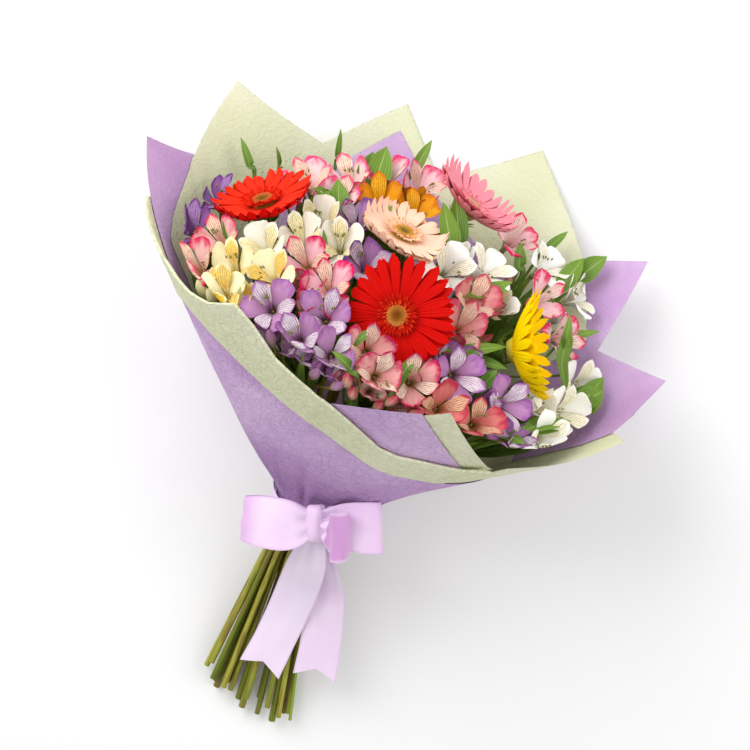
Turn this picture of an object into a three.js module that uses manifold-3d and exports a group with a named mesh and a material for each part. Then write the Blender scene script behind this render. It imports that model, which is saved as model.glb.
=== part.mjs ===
// A mixed bouquet of gerberas and alstroemerias in two-coloured florist's paper, tied with a satin
// bow and lying on its back on a table. Millimetres, +Z up, +Y towards the blooms.
//
// Most places are given in the bouquet's own frame: x to the right, y out of its front, z along its
// axis from the tie to the blooms. place() lays a point of that frame down on the table.
import * as THREE from "three";
import { ConvexGeometry } from "three/addons/geometries/ConvexGeometry.js";
import Module from "manifold-3d";

const wasm = await Module();
wasm.setup();

// Pose of the bouquet on the table.
const AXIS_TILT = THREE.MathUtils.degToRad(26);
const TIE_HEIGHT = 62.1;

// The paper funnel: its slope at the sides, front and back, and its narrow waist at the tie.
const APEX_Z = -28;
const SIDE_SLOPE = 0.89;
const FRONT_SLOPE = 0.56;
const BACK_SLOPE = 0.685;
const MEAN_DEPTH_SLOPE = 0.63;
const WAIST_RADIUS = 33;
const WAIST_TOP = 12;
const FLARE = 1.6;
const SOFTNESS = 8;
const FUNNEL_SHIFT = -14;
const SHIFT_MIDDLE = 40;
const SHIFT_LENGTH = 15;

// The tip at the back sags to the table: how far, where, and over what width and length.
const TIP_SAG = 8;
const SAG_TURN = 195;
const SAG_WIDTH = 14;
const SAG_START = 100;
const SAG_LENGTH = 196;

// Paper: thickness and pitch of the sheets that lie on each other, and where their gathers end.
const PAPER = 0.95;
const LAYER_PITCH = 1.6;
const OUTER_LAYER = 6;
const GATHER_Z = -14;
const PAPER_LEVELS = [GATHER_Z, 12, 44, 100];
const COLUMN_STEP = 13;
const FOLD_ROUNDING = 0.6;

// Blooms stand on a dome. An alstroemeria's florets spring from one point, an umbel.
const DOME_TOP = 267;
const FACING_DISTANCE = 290;
const FACING_FRONT = 0.52;
const FACING_UP = 0.72;
const FACING_SCATTER = 0.13;
const UMBEL_DEPTH = 62;
const UMBEL_RADIUS = 3.4;
const HUB_HALF = 4;
const PEDICEL_RADIUS = 1.3;
const GERBERA_PETALS = 11;
const GERBERA_RISE = 10;
const GERBERA_RADIUS = 47;
const GERBERA_NECK = 44;
const KEEL_DEPTH = 1.1;
const BUD_LENGTH = 20;
const BUD_DEPTH = 30;

// Leaves: how deep a long one leaves the umbel, how much it arches, its stalk's width; and the short
// ones in the gaps: how many for each plant, their reach, depth, hollow, width and mutual room.
const LEAF_DEPTH = 13;
const LEAF_BULGE = 0.09;
const LEAF_STALK = 2;
const GAP_LEAVES = 1;
const GAP_DIRECTIONS = 16;
const GAP_REACH = 36;
const GAP_DEPTH = 10;
const GAP_HOLLOW = 6;
const GAP_WIDTH = 13;
const GAP_LEAF_ROOM = 14;

// The filler's spray: where it branches, and how deep and big its heads are.
const FILLER_FAN = 0.8;
const FILLER_DEPTH = 60;
const FILLER_HEAD_DEPTH = 8;
const FILLER_HEAD_RADIUS = 3.8;
const FILLER_TWIG_RADIUS = 0.8;

// Crowded petals bend back from their neighbours and from the paper: how near they start to bend,
// how far they rise for it, and the share of the funnel's radius where the paper is felt.
const SQUEEZE = 8;
const PETAL_GAP = 0.6;
const NEIGHBOUR_REACH = 30;
const PETAL_LIFT = 0.5;
const WALL_START = 0.9;
const WALL_ROOM = 0.075;
const WALL_LIFT = 0.7;

// Stems: their radii, the radius of the tied bundle, and the levels at which they are packed.
const GERBERA_STEM = 3.3;
const ALSTROEMERIA_STEM = 2.6;
const FILLER_STEM = 1.5;
const BUNDLE_RADIUS = 19.4;
const STEM_GAP = 0.7;
const WALL_GAP = 2;
const STEM_LEVELS = [72, 14, -12, -75, -224];
const NECK_LEVEL = -12;
const CUT_LEVEL = -206;
const CUT_SCATTER = 9;
const CUT_SLANT = 1.3;
const CUT_SLANT_START = 45;
const CUT_LEFT = -12;
const CUT_LEFT_RISE = 16;
const STEM_REST = -3;
const BUNDLE_CENTRE = -22;
const BUNDLE_LEAN = -11;
const BUNDLE_SPREAD = 1.8;
const BUNDLE_SINK = 0.4;
const BUNDLE_LIFT = 42;
const BUNDLE_LENGTH = 200;
const PACKING_ROUNDS = 80;
const SEPAL_RADIUS = 9.5;
const FOOT_SHARE = 0.3;
const TWINE = [19.9, 22.2];
const TWINE_HALF_LENGTH = 9;

// Free space kept between two pieces, and detail that is smoothed away where two solids are joined.
const CLEARANCE = 0.3;
const CLEARANCE_GROWTH = 0.02;
const SMALLEST_CROSSING = 1e-6;
const SHORTEST_EDGE = 0.03;

// Ribbon: thickness of the satin, and the band that is wound round the tie.
const RIBBON_THICKNESS = 1;
const BAND_HALF_WIDTH = 12;
const BAND_OFFSETS = [3, 0.6];
const BAND_FACETS = 18;

const LILAC = 0xab8fba;
const PALE_GREEN = 0xd9dcb6;
const SATIN = 0xe6c9ea;
const STEM_GREEN = 0x76851a;
const LEAF_GREEN = 0x4d7d27;
const TWINE_BROWN = 0xb9a274;

// Paper edges: [turn, z] along each sheet's upper edge, turn in degrees from the front through the
// right side. Layer 0 lies innermost.
const SHEETS = [
  { name: "paper_lilac_back", colour: LILAC, layer: 0,
    edge: [[157, 218], [184, 245], [195, 276], [206, 241], [223, 215]] },
  { name: "paper_green_back", colour: PALE_GREEN, layer: 1,
    edge: [[148, 222], [169, 240], [184, 254], [195, 296], [211, 250], [239, 210]] },
  { name: "paper_green_back_left", colour: PALE_GREEN, layer: 2,
    edge: [[187, 215], [211, 250], [231, 283], [248, 233], [276, 190]] },
  { name: "paper_green_back_right", colour: PALE_GREEN, layer: 2,
    edge: [[130, 222], [148, 263], [169, 312], [185, 250]] },
  { name: "paper_green_front_right", colour: PALE_GREEN, layer: 2,
    edge: [[6, 178], [15, 225], [19, 247], [28, 217], [46, 178], [70, 154], [101, 149]] },
  { name: "paper_lilac_left", colour: LILAC, layer: 3,
    edge: [[211, 194], [248, 233], [264, 253], [276, 222], [300, 192]] },
  { name: "paper_lilac_right", colour: LILAC, layer: 3,
    edge: [[84, 196], [88, 215], [107, 251], [126, 223], [139, 292], [148, 263], [169, 190]] },
  { name: "paper_lilac_front_right", colour: LILAC, layer: 3,
    edge: [[-9, 171], [-2, 191], [6, 208], [15, 232], [28, 193], [40, 168]] },
  { name: "paper_green_right", colour: PALE_GREEN, layer: 4,
    edge: [[50, 184], [79, 228], [88, 216], [101, 190], [126, 165]] },
  { name: "paper_lilac_front", colour: LILAC, layer: 5,
    edge: [[-105, 200], [-92, 200], [-84, 212], [-76, 212], [-60, 206], [-50, 200], [-44, 202],
      [-35, 212], [-26, 236], [-17, 203], [-2, 180], [6, 166], [15, 151], [28, 156], [40, 160],
      [46, 129], [70, 135], [101, 141]] },
];

// The cuff: a green sheet inside the front that is folded out over the lilac one.
const CUFF = {
  name: "paper_green_cuff", colour: PALE_GREEN, layer: 4,
  fold: [[-92, 210], [-84, 222], [-76, 222], [-60, 216], [-50, 210], [-44, 212], [-35, 222],
    [-26, 246], [-17, 213], [-2, 190], [6, 176], [15, 161], [28, 166], [40, 171], [46, 178]],
  free: [[-92, 190], [-76, 182], [-44, 182], [-35, 178], [-26, 170], [-17, 162], [-2, 150],
    [15, 131], [28, 127], [46, 134]],
};

// Gerberas: centre [x, y], spacing radius, the way they face, how far their petals cup, and colour.
const GERBERAS = [
  { name: "red_front", at: [-4, 55], room: 44, facing: [-0.2, 0.88, 0.45], cup: 0, colour: 0xd8100c },
  { name: "red_left", at: [-142, -14], room: 34, facing: [-0.57, 0.08, 0.81], cup: 5, colour: 0xe02a12 },
  { name: "yellow", at: [84, 18], room: 31, facing: [0.8, -0.1, 0.5], cup: 20, colour: 0xffd000 },
  { name: "pink", at: [3, -90], room: 30, facing: [0.25, -0.2, 0.85], cup: 15, colour: 0xf08498 },
  { name: "peach", at: [-33, -15], room: 32, facing: [0, -0.05, 1], cup: 3, colour: 0xf8c4a2 },
];

// Alstroemerias, one cut stem each: florets [x, y, spacing radius], buds [x, y] and leaves
// [base x, base y, tip x, tip y, rise of the tip, width].
const ALSTROEMERIAS = [
  { name: "plum_left", colour: 0x6d4490, florets: [[-191, -37, 19], [-194, 7, 19]],
    buds: [], leaves: [[-169, -76, -208, -96, 30, 6]] },
  { name: "rose_left", colour: 0xe9b9ae, florets: [[-165, 25, 19], [-170, 57, 19]],
    buds: [], leaves: [[-152, 18, -170, 14, 12, 8]] },
  { name: "yellow_left", colour: 0xf0cf3a, florets: [[-143, 56, 20], [-111, 61, 20], [-138, 87, 18]],
    buds: [[-154, 78]], leaves: [] },
  { name: "cream", colour: 0xf3ecd8, florets: [[-128, 31, 19], [-105, 11, 19], [-74, 9, 19], [-98, -16, 17]],
    buds: [], leaves: [[-118, -8, -104, -42, 12, 12]] },
  { name: "magenta", colour: 0xd8609a, florets: [[-92, 39, 20], [-66, 58, 21]],
    buds: [], leaves: [[-84, 24, -92, 10, 12, 8]] },
  { name: "violet_front", colour: 0x9a6cc0,
    florets: [[-98, 94, 20], [-56, 88, 21], [-66, 116, 19], [-38, 119, 19]],
    buds: [], leaves: [[-34, 104, -18, 92, 12, 6]] },
  { name: "violet_mid", colour: 0x8f70ae, florets: [[-73, -26, 19], [-48, 20, 18]],
    buds: [], leaves: [[-60, -18, -52, -42, 14, 8]] },
  { name: "rose_top", colour: 0xf2c6c2, florets: [[-126, -69, 20], [-97, -82, 17], [-95, -48, 18]],
    buds: [[-110, -44]],
    leaves: [[-84, -60, -118, -44, 10, 14], [-150, -86, -165, -82, 25, 4], [-112, -106, -124, -114, 30, 4]] },
  { name: "rose_back", colour: 0xf0b6c4, florets: [[-71, -104, 19], [-39, -105, 18]],
    buds: [], leaves: [[-52, -118, -50, -148, 22, 7]] },
  { name: "ochre_back", colour: 0xd68a12, florets: [[-64, -60, 19], [-32, -64, 19]],
    buds: [], leaves: [[-80, -82, -90, -112, 14, 15]] },
  { name: "white_mid", colour: 0xf4f0ea, florets: [[13, -17, 19], [43, -47, 22]],
    buds: [[8, -38]], leaves: [[18, -36, -16, -58, 25, 13]] },
  { name: "white_right", colour: 0xf6f4ee, florets: [[90, -112, 22], [127, -117, 18]],
    buds: [], leaves: [[118, -134, 148, -160, 30, 14], [106, -100, 116, -138, 20, 12],
      [80, -132, 94, -160, 15, 6]] },
  { name: "coral_right", colour: 0xee9aa6, florets: [[52, -108, 19], [96, -67, 19], [126, -51, 19]],
    buds: [[66, -82]], leaves: [[72, -80, 58, -92, 12, 8], [140, -36, 128, -30, 26, 7]] },
  { name: "salmon_mid", colour: 0xe58e84, florets: [[43, 31, 19], [44, -4, 18]],
    buds: [[62, 2]], leaves: [[28, -18, 66, -22, 15, 12], [56, 42, 92, 40, 8, 7]] },
  { name: "salmon_front", colour: 0xe08a86, florets: [[-15, 101, 18], [1, 118, 19], [28, 104, 19]],
    buds: [[14, 96], [-22, 84]], leaves: [[-8, 130, -42, 146, 8, 7], [16, 120, 20, 92, 12, 7]] },
  { name: "salmon_low", colour: 0xe07f7c, florets: [[88, 98, 19], [57, 110, 18]],
    buds: [], leaves: [[100, 76, 136, 84, 6, 9]] },
  { name: "violet_right", colour: 0xa070c4, florets: [[57, 74, 22], [103, 61, 20]],
    buds: [[80, 52]], leaves: [[76, 68, 84, 56, 14, 8]] },
  { name: "white_low", colour: 0xf3efe4, florets: [[158, -31, 22], [154, 8, 18], [146, 51, 19]],
    buds: [], leaves: [[158, -10, 196, -36, 18, 18], [118, 64, 158, 34, 10, 8],
      [128, -66, 156, -92, 12, 6]] },
];

// Goldenrod-like filler: a thin stem with a spray of small yellow heads.
const FILLER = { name: "yellow_filler_right", colour: 0xe8c020, heads: [[128, 26], [134, 2], [122, 8]] };

const group = new THREE.Group();
const bodies = [];

// Maths shared by all pieces.
function softMax(a, b, width) {
  return 0.5 * (a + b + Math.hypot(a - b, width));
}

function softMin(a, b, width) {
  return 0.5 * (a + b - Math.hypot(a - b, width));
}

// A repeatable draw between -1 and 1.
function draw(index, kind) {
  const wave = Math.sin(index * 12.9898 + kind * 78.233) * 43758.5453;
  return 2 * (wave - Math.floor(wave)) - 1;
}

function place(x, y, z) {
  return new THREE.Vector3(
    x,
    z * Math.cos(AXIS_TILT) - y * Math.sin(AXIS_TILT),
    z * Math.sin(AXIS_TILT) + y * Math.cos(AXIS_TILT) + TIE_HEIGHT,
  );
}

// Height of a bloom's centre above the tie.
function domeZ(x, y) {
  const across = x - FUNNEL_SHIFT;
  return DOME_TOP - 0.0018 * across * across - 0.22 * y - 0.0006 * y * y;
}

function funnelCentre(z) {
  return FUNNEL_SHIFT / (1 + Math.exp(-(z - SHIFT_MIDDLE) / SHIFT_LENGTH));
}

function funnelRadius(slope, z) {
  const cone = softMin(slope * (z - APEX_Z), WAIST_RADIUS + FLARE * (z - WAIST_TOP), SOFTNESS);
  return softMax(WAIST_RADIUS, cone, SOFTNESS);
}

function depthSlope(turn) {
  return (FRONT_SLOPE + BACK_SLOPE) / 2 + ((FRONT_SLOPE - BACK_SLOPE) / 2) * Math.cos(turn);
}

function sag(turnDegrees, z) {
  const across = (((turnDegrees % 360) + 360) % 360 - SAG_TURN) / SAG_WIDTH;
  return TIP_SAG * Math.exp(-across * across) * Math.max(0, (z - SAG_START) / SAG_LENGTH);
}

// A point of the funnel, so far inside its outermost surface.
function funnelPoint(turnDegrees, z, inset) {
  const turn = THREE.MathUtils.degToRad(turnDegrees);
  const wide = funnelRadius(SIDE_SLOPE, z) - inset;
  const deep = funnelRadius(depthSlope(turn), z) - inset;
  return place(funnelCentre(z) + wide * Math.sin(turn), deep * Math.cos(turn) - sag(turnDegrees, z), z);
}

// Solids from triangles. The faces may be listed either way round.
function solid(points, faces) {
  let volume = 0;
  for (const [a, b, c] of faces)
    volume += points[a].dot(new THREE.Vector3().crossVectors(points[b], points[c]));
  const outward = volume < 0 ? faces.map(([a, b, c]) => [a, c, b]) : faces;
  return new wasm.Manifold(new wasm.Mesh({
    numProp: 3,
    vertProperties: new Float32Array(points.flatMap((p) => [p.x, p.y, p.z])),
    triVerts: new Uint32Array(outward.flat()),
  }));
}

function join(solids) {
  return solids.reduce((whole, piece) => whole.add(piece));
}

// A sheet between two grids of points with the same rows and columns.
function thickGrid(top, bottom) {
  const rows = top.length;
  const columns = top[0].length;
  const points = [...top.flat(), ...bottom.flat()];
  const half = rows * columns;
  const at = (side, row, column) => side * half + row * columns + column;
  const faces = [];
  const quad = (a, b, c, d) => faces.push([a, b, c], [a, c, d]);
  for (let r = 0; r + 1 < rows; r++)
    for (let c = 0; c + 1 < columns; c++) {
      quad(at(0, r, c), at(0, r, c + 1), at(0, r + 1, c + 1), at(0, r + 1, c));
      quad(at(1, r + 1, c), at(1, r + 1, c + 1), at(1, r, c + 1), at(1, r, c));
    }
  for (let c = 0; c + 1 < columns; c++) {
    quad(at(1, 0, c), at(1, 0, c + 1), at(0, 0, c + 1), at(0, 0, c));
    quad(at(0, rows - 1, c), at(0, rows - 1, c + 1), at(1, rows - 1, c + 1), at(1, rows - 1, c));
  }
  for (let r = 0; r + 1 < rows; r++) {
    quad(at(0, r, 0), at(0, r + 1, 0), at(1, r + 1, 0), at(1, r, 0));
    quad(at(1, r, columns - 1), at(1, r + 1, columns - 1), at(0, r + 1, columns - 1), at(0, r, columns - 1));
  }
  return solid(points, faces);
}

// Rings of points joined into a closed tube with pointed or flat ends.
function tubeOfRings(rings, first, last) {
  const sides = rings[0].length;
  const points = [first, ...rings.flat(), last];
  const faces = [];
  const at = (ring, side) => 1 + ring * sides + (side % sides);
  for (let s = 0; s < sides; s++) {
    faces.push([0, at(0, s + 1), at(0, s)]);
    faces.push([points.length - 1, at(rings.length - 1, s), at(rings.length - 1, s + 1)]);
    for (let r = 0; r + 1 < rings.length; r++) {
      faces.push([at(r, s), at(r, s + 1), at(r + 1, s + 1)]);
      faces.push([at(r, s), at(r + 1, s + 1), at(r + 1, s)]);
    }
  }
  return solid(points, faces);
}

// Two directions square to a third one.
function crossAxes(along) {
  const helper = Math.abs(along.x) < 0.8 ? new THREE.Vector3(1, 0, 0) : new THREE.Vector3(0, 0, 1);
  const side = new THREE.Vector3().crossVectors(along, helper).normalize();
  return [side, new THREE.Vector3().crossVectors(along, side).normalize()];
}

function tube(path, radius, sides) {
  const rings = path.map((point, i) => {
    const along = new THREE.Vector3()
      .subVectors(path[Math.min(i + 1, path.length - 1)], path[Math.max(i - 1, 0)])
      .normalize();
    const across = new THREE.Vector3(1, 0, 0).addScaledVector(along, -along.x).normalize();
    const other = new THREE.Vector3().crossVectors(along, across);
    return ringAround(point, across, other, radius, sides);
  });
  return tubeOfRings(rings, path[0], path[path.length - 1]);
}

function ringAround(centre, across, other, radius, sides) {
  return Array.from({ length: sides }, (_, s) => {
    const angle = (2 * Math.PI * s) / sides;
    return centre.clone()
      .addScaledVector(across, radius * Math.cos(angle))
      .addScaledVector(other, radius * Math.sin(angle));
  });
}

// A turned body on an axis: [radius, height] rings between two points on the axis.
function turned(centre, along, bottom, rings, top, sides) {
  const [across, other] = crossAxes(along);
  const up = (height) => centre.clone().addScaledVector(along, height);
  return tubeOfRings(
    rings.map(([radius, height]) => ringAround(up(height), across, other, radius, sides)),
    up(bottom),
    up(top),
  );
}

// A flower's petals round one throat: rings of points for the neck and the rim, and petals with a
// keel on every side of the rim. Each petal is rows of [reach, rise, width] and a tip,
// with the keel square to the petal however it is bent.
// With a foot, the neck runs down into a three-sided stalk that ends there.
function corolla({ centre, normal, spin }, form, shape) {
  const { count, base, neck, rim, throat, petal, foot } = form;
  const [across, other] = crossAxes(normal);
  const points = [];
  const bent = (angle, reach, rise, aside = 0) => {
    const [cos, sin] = [Math.cos(spin + angle), Math.sin(spin + angle)];
    return shape(centre.clone()
      .addScaledVector(across, reach * cos - aside * sin)
      .addScaledVector(other, reach * sin + aside * cos)
      .addScaledVector(normal, rise));
  };
  const keep = (point) => points.push(point) - 1;
  const put = (...where) => keep(bent(...where));
  const step = (2 * Math.PI) / count;
  const top = put(0, 0, throat);
  const necks = Array.from({ length: count }, (_, k) => put((k - 0.5) * step, ...neck));
  const rims = Array.from({ length: count }, (_, k) => put((k - 0.5) * step, ...rim));
  const faces = [];
  const quad = (a, b, c, d) => faces.push([a, b, c], [a, c, d]);
  const endStalk = () => {
    const stalk = Array.from({ length: count / 2 }, (_, j) => {
      const angle = spin + 2 * j * step;
      points.push(foot.clone()
        .addScaledVector(across, PEDICEL_RADIUS * Math.cos(angle))
        .addScaledVector(other, PEDICEL_RADIUS * Math.sin(angle)));
      return points.length - 1;
    });
    stalk.forEach((corner, j) => {
      const [a, b, c] = [2 * j, 2 * j + 1, (2 * j + 2) % count].map((k) => necks[k]);
      faces.push([corner, b, a], [corner, c, b], [corner, stalk[(j + 1) % stalk.length], c]);
    });
    faces.push([...stalk].reverse());
  };
  if (foot) endStalk();
  const bottom = foot ? null : put(0, 0, base);
  for (let k = 0; k < count; k++) {
    const next = (k + 1) % count;
    const { rows, tip } = petal(k);
    let [left, right, keel] = [rims[k], rims[next], put(k * step, rim[0], rim[1] - KEEL_DEPTH)];
    faces.push([top, rims[k], rims[next]]);
    if (!foot) faces.push([bottom, necks[next], necks[k]]);
    faces.push([necks[k], necks[next], keel], [necks[k], keel, left], [necks[next], right, keel]);
    let before = bent(k * step, ...rim);
    for (const [reach, rise, width] of rows) {
      const middle = bent(k * step, reach, rise);
      const row = [put(k * step, reach, rise, -width / 2), put(k * step, reach, rise, width / 2)];
      const outOfFace = new THREE.Vector3()
        .subVectors(middle, before)
        .cross(new THREE.Vector3().subVectors(points[row[1]], points[row[0]]))
        .normalize();
      row.push(keep(middle.clone().addScaledVector(outOfFace, -KEEL_DEPTH)));
      before = middle;
      quad(left, row[0], row[1], right);
      quad(left, keel, row[2], row[0]);
      quad(right, row[1], row[2], keel);
      [left, right, keel] = row;
    }
    const end = put(k * step, ...tip);
    faces.push([left, end, right], [left, keel, end], [keel, right, end]);
  }
  return solid(points, faces);
}

// A leaf blade along a path: a width at each point but the last, which is the tip.
function keeledBlade(path, widths, up, keel) {
  const points = [];
  const faces = [[0, 1, 2]];
  widths.forEach((width, i) => {
    const along = new THREE.Vector3().subVectors(path[i + 1], path[Math.max(0, i - 1)]).normalize();
    const side = new THREE.Vector3().crossVectors(up, along).normalize();
    const under = new THREE.Vector3().crossVectors(side, along).normalize();
    points.push(path[i].clone().addScaledVector(side, -width / 2));
    points.push(path[i].clone().addScaledVector(side, width / 2));
    points.push(path[i].clone().addScaledVector(under, keel));
    if (i === 0) return;
    for (let s = 0; s < 3; s++) {
      const a = 3 * (i - 1) + s;
      const b = 3 * (i - 1) + ((s + 1) % 3);
      faces.push([a, a + 3, b + 3], [a, b + 3, b]);
    }
  });
  points.push(path[path.length - 1]);
  const end = points.length - 1;
  const last = 3 * (widths.length - 1);
  faces.push([last, end, last + 1], [last + 1, end, last + 2], [last + 2, end, last]);
  return solid(points, faces);
}

function addBody(name, colour, body, rank, roughness = 0.7) {
  bodies.push({ name, colour, body, rank, roughness });
}

// Every place where a sheet's edge turns gives all sheets a column there, so that sheets that lie
// on each other have the same facets.
function paperColumns() {
  const corners = new Set();
  const note = ([turn]) => corners.add(((turn % 360) + 360) % 360);
  for (const sheet of SHEETS) sheet.edge.forEach(note);
  CUFF.fold.forEach(note);
  CUFF.free.forEach(note);
  const sorted = [...corners].sort((a, b) => a - b);
  sorted.push(sorted[0] + 360);
  const columns = [];
  for (let i = 0; i + 1 < sorted.length; i++) {
    const parts = Math.ceil((sorted[i + 1] - sorted[i]) / COLUMN_STEP);
    for (let k = 0; k < parts; k++)
      columns.push(sorted[i] + ((sorted[i + 1] - sorted[i]) * k) / parts);
  }
  return columns.flatMap((turn) => [turn - 360, turn, turn + 360]).sort((a, b) => a - b);
}

function alongEdge(edge, turn) {
  for (let i = 0; i + 1 < edge.length; i++) {
    const [t0, z0] = edge[i];
    const [t1, z1] = edge[i + 1];
    if (turn >= t0 - 1e-6 && turn <= t1 + 1e-6) return z0 + ((z1 - z0) * (turn - t0)) / (t1 - t0);
  }
  return edge[edge.length - 1][1];
}

function sheetColumns(columns, edge) {
  const from = edge[0][0] - 1e-6;
  const to = edge[edge.length - 1][0] + 1e-6;
  return columns.filter((turn) => turn >= from && turn <= to);
}

function layerInset(layer) {
  return (OUTER_LAYER - layer) * LAYER_PITCH;
}

function paperSheet(columns, { edge, layer }) {
  const turns = sheetColumns(columns, edge);
  const outer = layerInset(layer);
  const surface = (inset) => [
    ...PAPER_LEVELS.map((z) => turns.map((turn) => funnelPoint(turn, z, inset))),
    turns.map((turn) => funnelPoint(turn, alongEdge(edge, turn), inset)),
  ];
  return thickGrid(surface(outer), surface(outer + PAPER));
}

function cuffSheet(columns) {
  const turns = sheetColumns(columns, CUFF.fold);
  const inner = layerInset(CUFF.layer);
  const outer = layerInset(OUTER_LAYER);
  const fold = (turn) => alongEdge(CUFF.fold, turn);
  const row = (height, inset) => turns.map((turn) => funnelPoint(turn, height(turn), inset));
  const inside = (inset) => PAPER_LEVELS.map((z) => row(() => z, inset));
  const facingIn = [
    ...inside(inner),
    row((turn) => fold(turn) - FOLD_ROUNDING, inner),
    row((turn) => fold(turn) - FOLD_ROUNDING, outer + PAPER),
    row((turn) => alongEdge(CUFF.free, turn), outer + PAPER),
  ];
  const facingOut = [
    ...inside(inner + PAPER),
    row((turn) => fold(turn) + FOLD_ROUNDING, inner + PAPER),
    row((turn) => fold(turn) + FOLD_ROUNDING, outer),
    row((turn) => alongEdge(CUFF.free, turn), outer),
  ];
  return thickGrid(facingIn, facingOut);
}

function wrapBouquet() {
  const columns = paperColumns();
  for (const sheet of SHEETS) addBody(sheet.name, sheet.colour, paperSheet(columns, sheet), 0);
  addBody(CUFF.name, CUFF.colour, cuffSheet(columns), 0);
}

// Every gerbera and floret with its centre on the dome, the way it faces and its turn.
function layOutBlooms() {
  const blooms = GERBERAS.map(({ name, at: [x, y], room, facing }) => ({ owner: name, x, y, room, facing }));
  for (const { name, florets } of ALSTROEMERIAS)
    for (const [x, y, room] of florets) blooms.push({ owner: name, x, y, room });
  blooms.forEach((bloom, i) => {
    const across = bloom.x - FUNNEL_SHIFT;
    const [fx, fy, fz] = bloom.facing ?? [
      across / FACING_DISTANCE + FACING_SCATTER * draw(i, 1),
      bloom.y / FACING_DISTANCE + FACING_FRONT + FACING_SCATTER * draw(i, 2),
      FACING_UP,
    ];
    bloom.centre = place(bloom.x, bloom.y, domeZ(bloom.x, bloom.y));
    bloom.normal = place(fx, fy, fz).sub(place(0, 0, 0)).normalize();
    bloom.spin = Math.PI * draw(i, 3);
  });
  return blooms;
}

// Moves a petal's point back from the planes between its bloom and its neighbours, and from the
// paper, so that crowded petals bend instead of crossing.
function keepInRoom(bloom, blooms) {
  const others = blooms.filter((other) => other !== bloom
    && other.centre.distanceTo(bloom.centre) < other.room + bloom.room + NEIGHBOUR_REACH);
  return (point) => {
    const moved = point.clone();
    for (const other of others) {
      const towards = new THREE.Vector3().subVectors(other.centre, bloom.centre);
      const apart = towards.length();
      towards.divideScalar(apart);
      const border = (apart * bloom.room) / (bloom.room + other.room) - PETAL_GAP;
      const left = border - new THREE.Vector3().subVectors(moved, bloom.centre).dot(towards);
      if (left >= SQUEEZE) continue;
      const back = SQUEEZE * Math.exp((left - SQUEEZE) / SQUEEZE) - left;
      moved.addScaledVector(towards, -back).addScaledVector(bloom.normal, PETAL_LIFT * back);
    }
    return insideFunnel(moved);
  };
}

function unplace(point) {
  const [rise, run] = [point.z - TIE_HEIGHT, point.y];
  return {
    x: point.x,
    y: rise * Math.cos(AXIS_TILT) - run * Math.sin(AXIS_TILT),
    z: rise * Math.sin(AXIS_TILT) + run * Math.cos(AXIS_TILT),
  };
}

function insideFunnel(point) {
  const { x, y, z } = unplace(point);
  const inner = layerInset(0) + PAPER;
  const centre = funnelCentre(z);
  const wide = funnelRadius(SIDE_SLOPE, z) - inner;
  const turn = Math.atan2((x - centre) / SIDE_SLOPE, y / MEAN_DEPTH_SLOPE);
  const deep = funnelRadius(depthSlope(turn), z) - inner;
  const share = Math.hypot((x - centre) / wide, y / deep);
  if (share <= WALL_START) return point;
  const kept = WALL_START + WALL_ROOM * (1 - Math.exp((WALL_START - share) / WALL_ROOM));
  const pulled = Math.hypot(x - centre, y) * (1 - kept / share);
  return place(centre + ((x - centre) * kept) / share, (y * kept) / share, z + WALL_LIFT * pulled);
}

// A gerbera: two staggered rings of ray florets round its disc.
function gerberaBloom(bloom, cup, shape) {
  const cupped = ([reach, rise, ...rest]) => [reach, rise + cup * (reach / GERBERA_RADIUS) ** 2, ...rest];
  const ring = (turn, { rows, tip, ...disc }) => corolla(
    { ...bloom, spin: bloom.spin + turn },
    { ...disc, count: GERBERA_PETALS, petal: () => ({ rows: rows.map(cupped), tip: cupped(tip) }) },
    shape,
  );
  const step = (2 * Math.PI) / GERBERA_PETALS;
  return join([
    ring(0, { base: -9, neck: [8, -7], rim: [11, -2.6], throat: -1.2, rows: [[33, -0.8, 12.5]],
      tip: [GERBERA_RADIUS, -1.8] }),
    ring(step / 2, { base: -2.2, neck: [6, -2], rim: [11, 0.6], throat: 1.6, rows: [[32, 3.4, 12.5]],
      tip: [GERBERA_RADIUS - 1, 3] }),
    turned(bloom.centre, bloom.normal, -1, [[10.5, 0.4], [8.5, 4]], 4.6, 8),
  ]);
}

// An alstroemeria floret: three broad and three narrow petals that flare from a narrow throat.
function alstroemeriaFloret(bloom, foot, shape) {
  const petal = (k) => (k % 2 === 0
    ? { rows: [[10, -4, 12], [19, 2.2, 18]], tip: [28, 2] }
    : { rows: [[14, 3.4, 9.6]], tip: [25, 8] });
  return corolla(bloom, {
    count: 6, neck: [2.2, -19], rim: [4.2, -9], throat: -10.5, petal, foot,
  }, shape);
}

function between(a, b, share) {
  return new THREE.Vector3().lerpVectors(a, b, share);
}

function umbelCentre(florets) {
  const x = florets.reduce((sum, f) => sum + f.x, 0) / florets.length;
  const y = florets.reduce((sum, f) => sum + f.y, 0) / florets.length;
  const z = domeZ(x, y) - UMBEL_DEPTH;
  const fan = (z - APEX_Z) / (z + UMBEL_DEPTH - APEX_Z);
  return { x: FUNNEL_SHIFT + (x - FUNNEL_SHIFT) * fan, y: y * fan, z };
}

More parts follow.
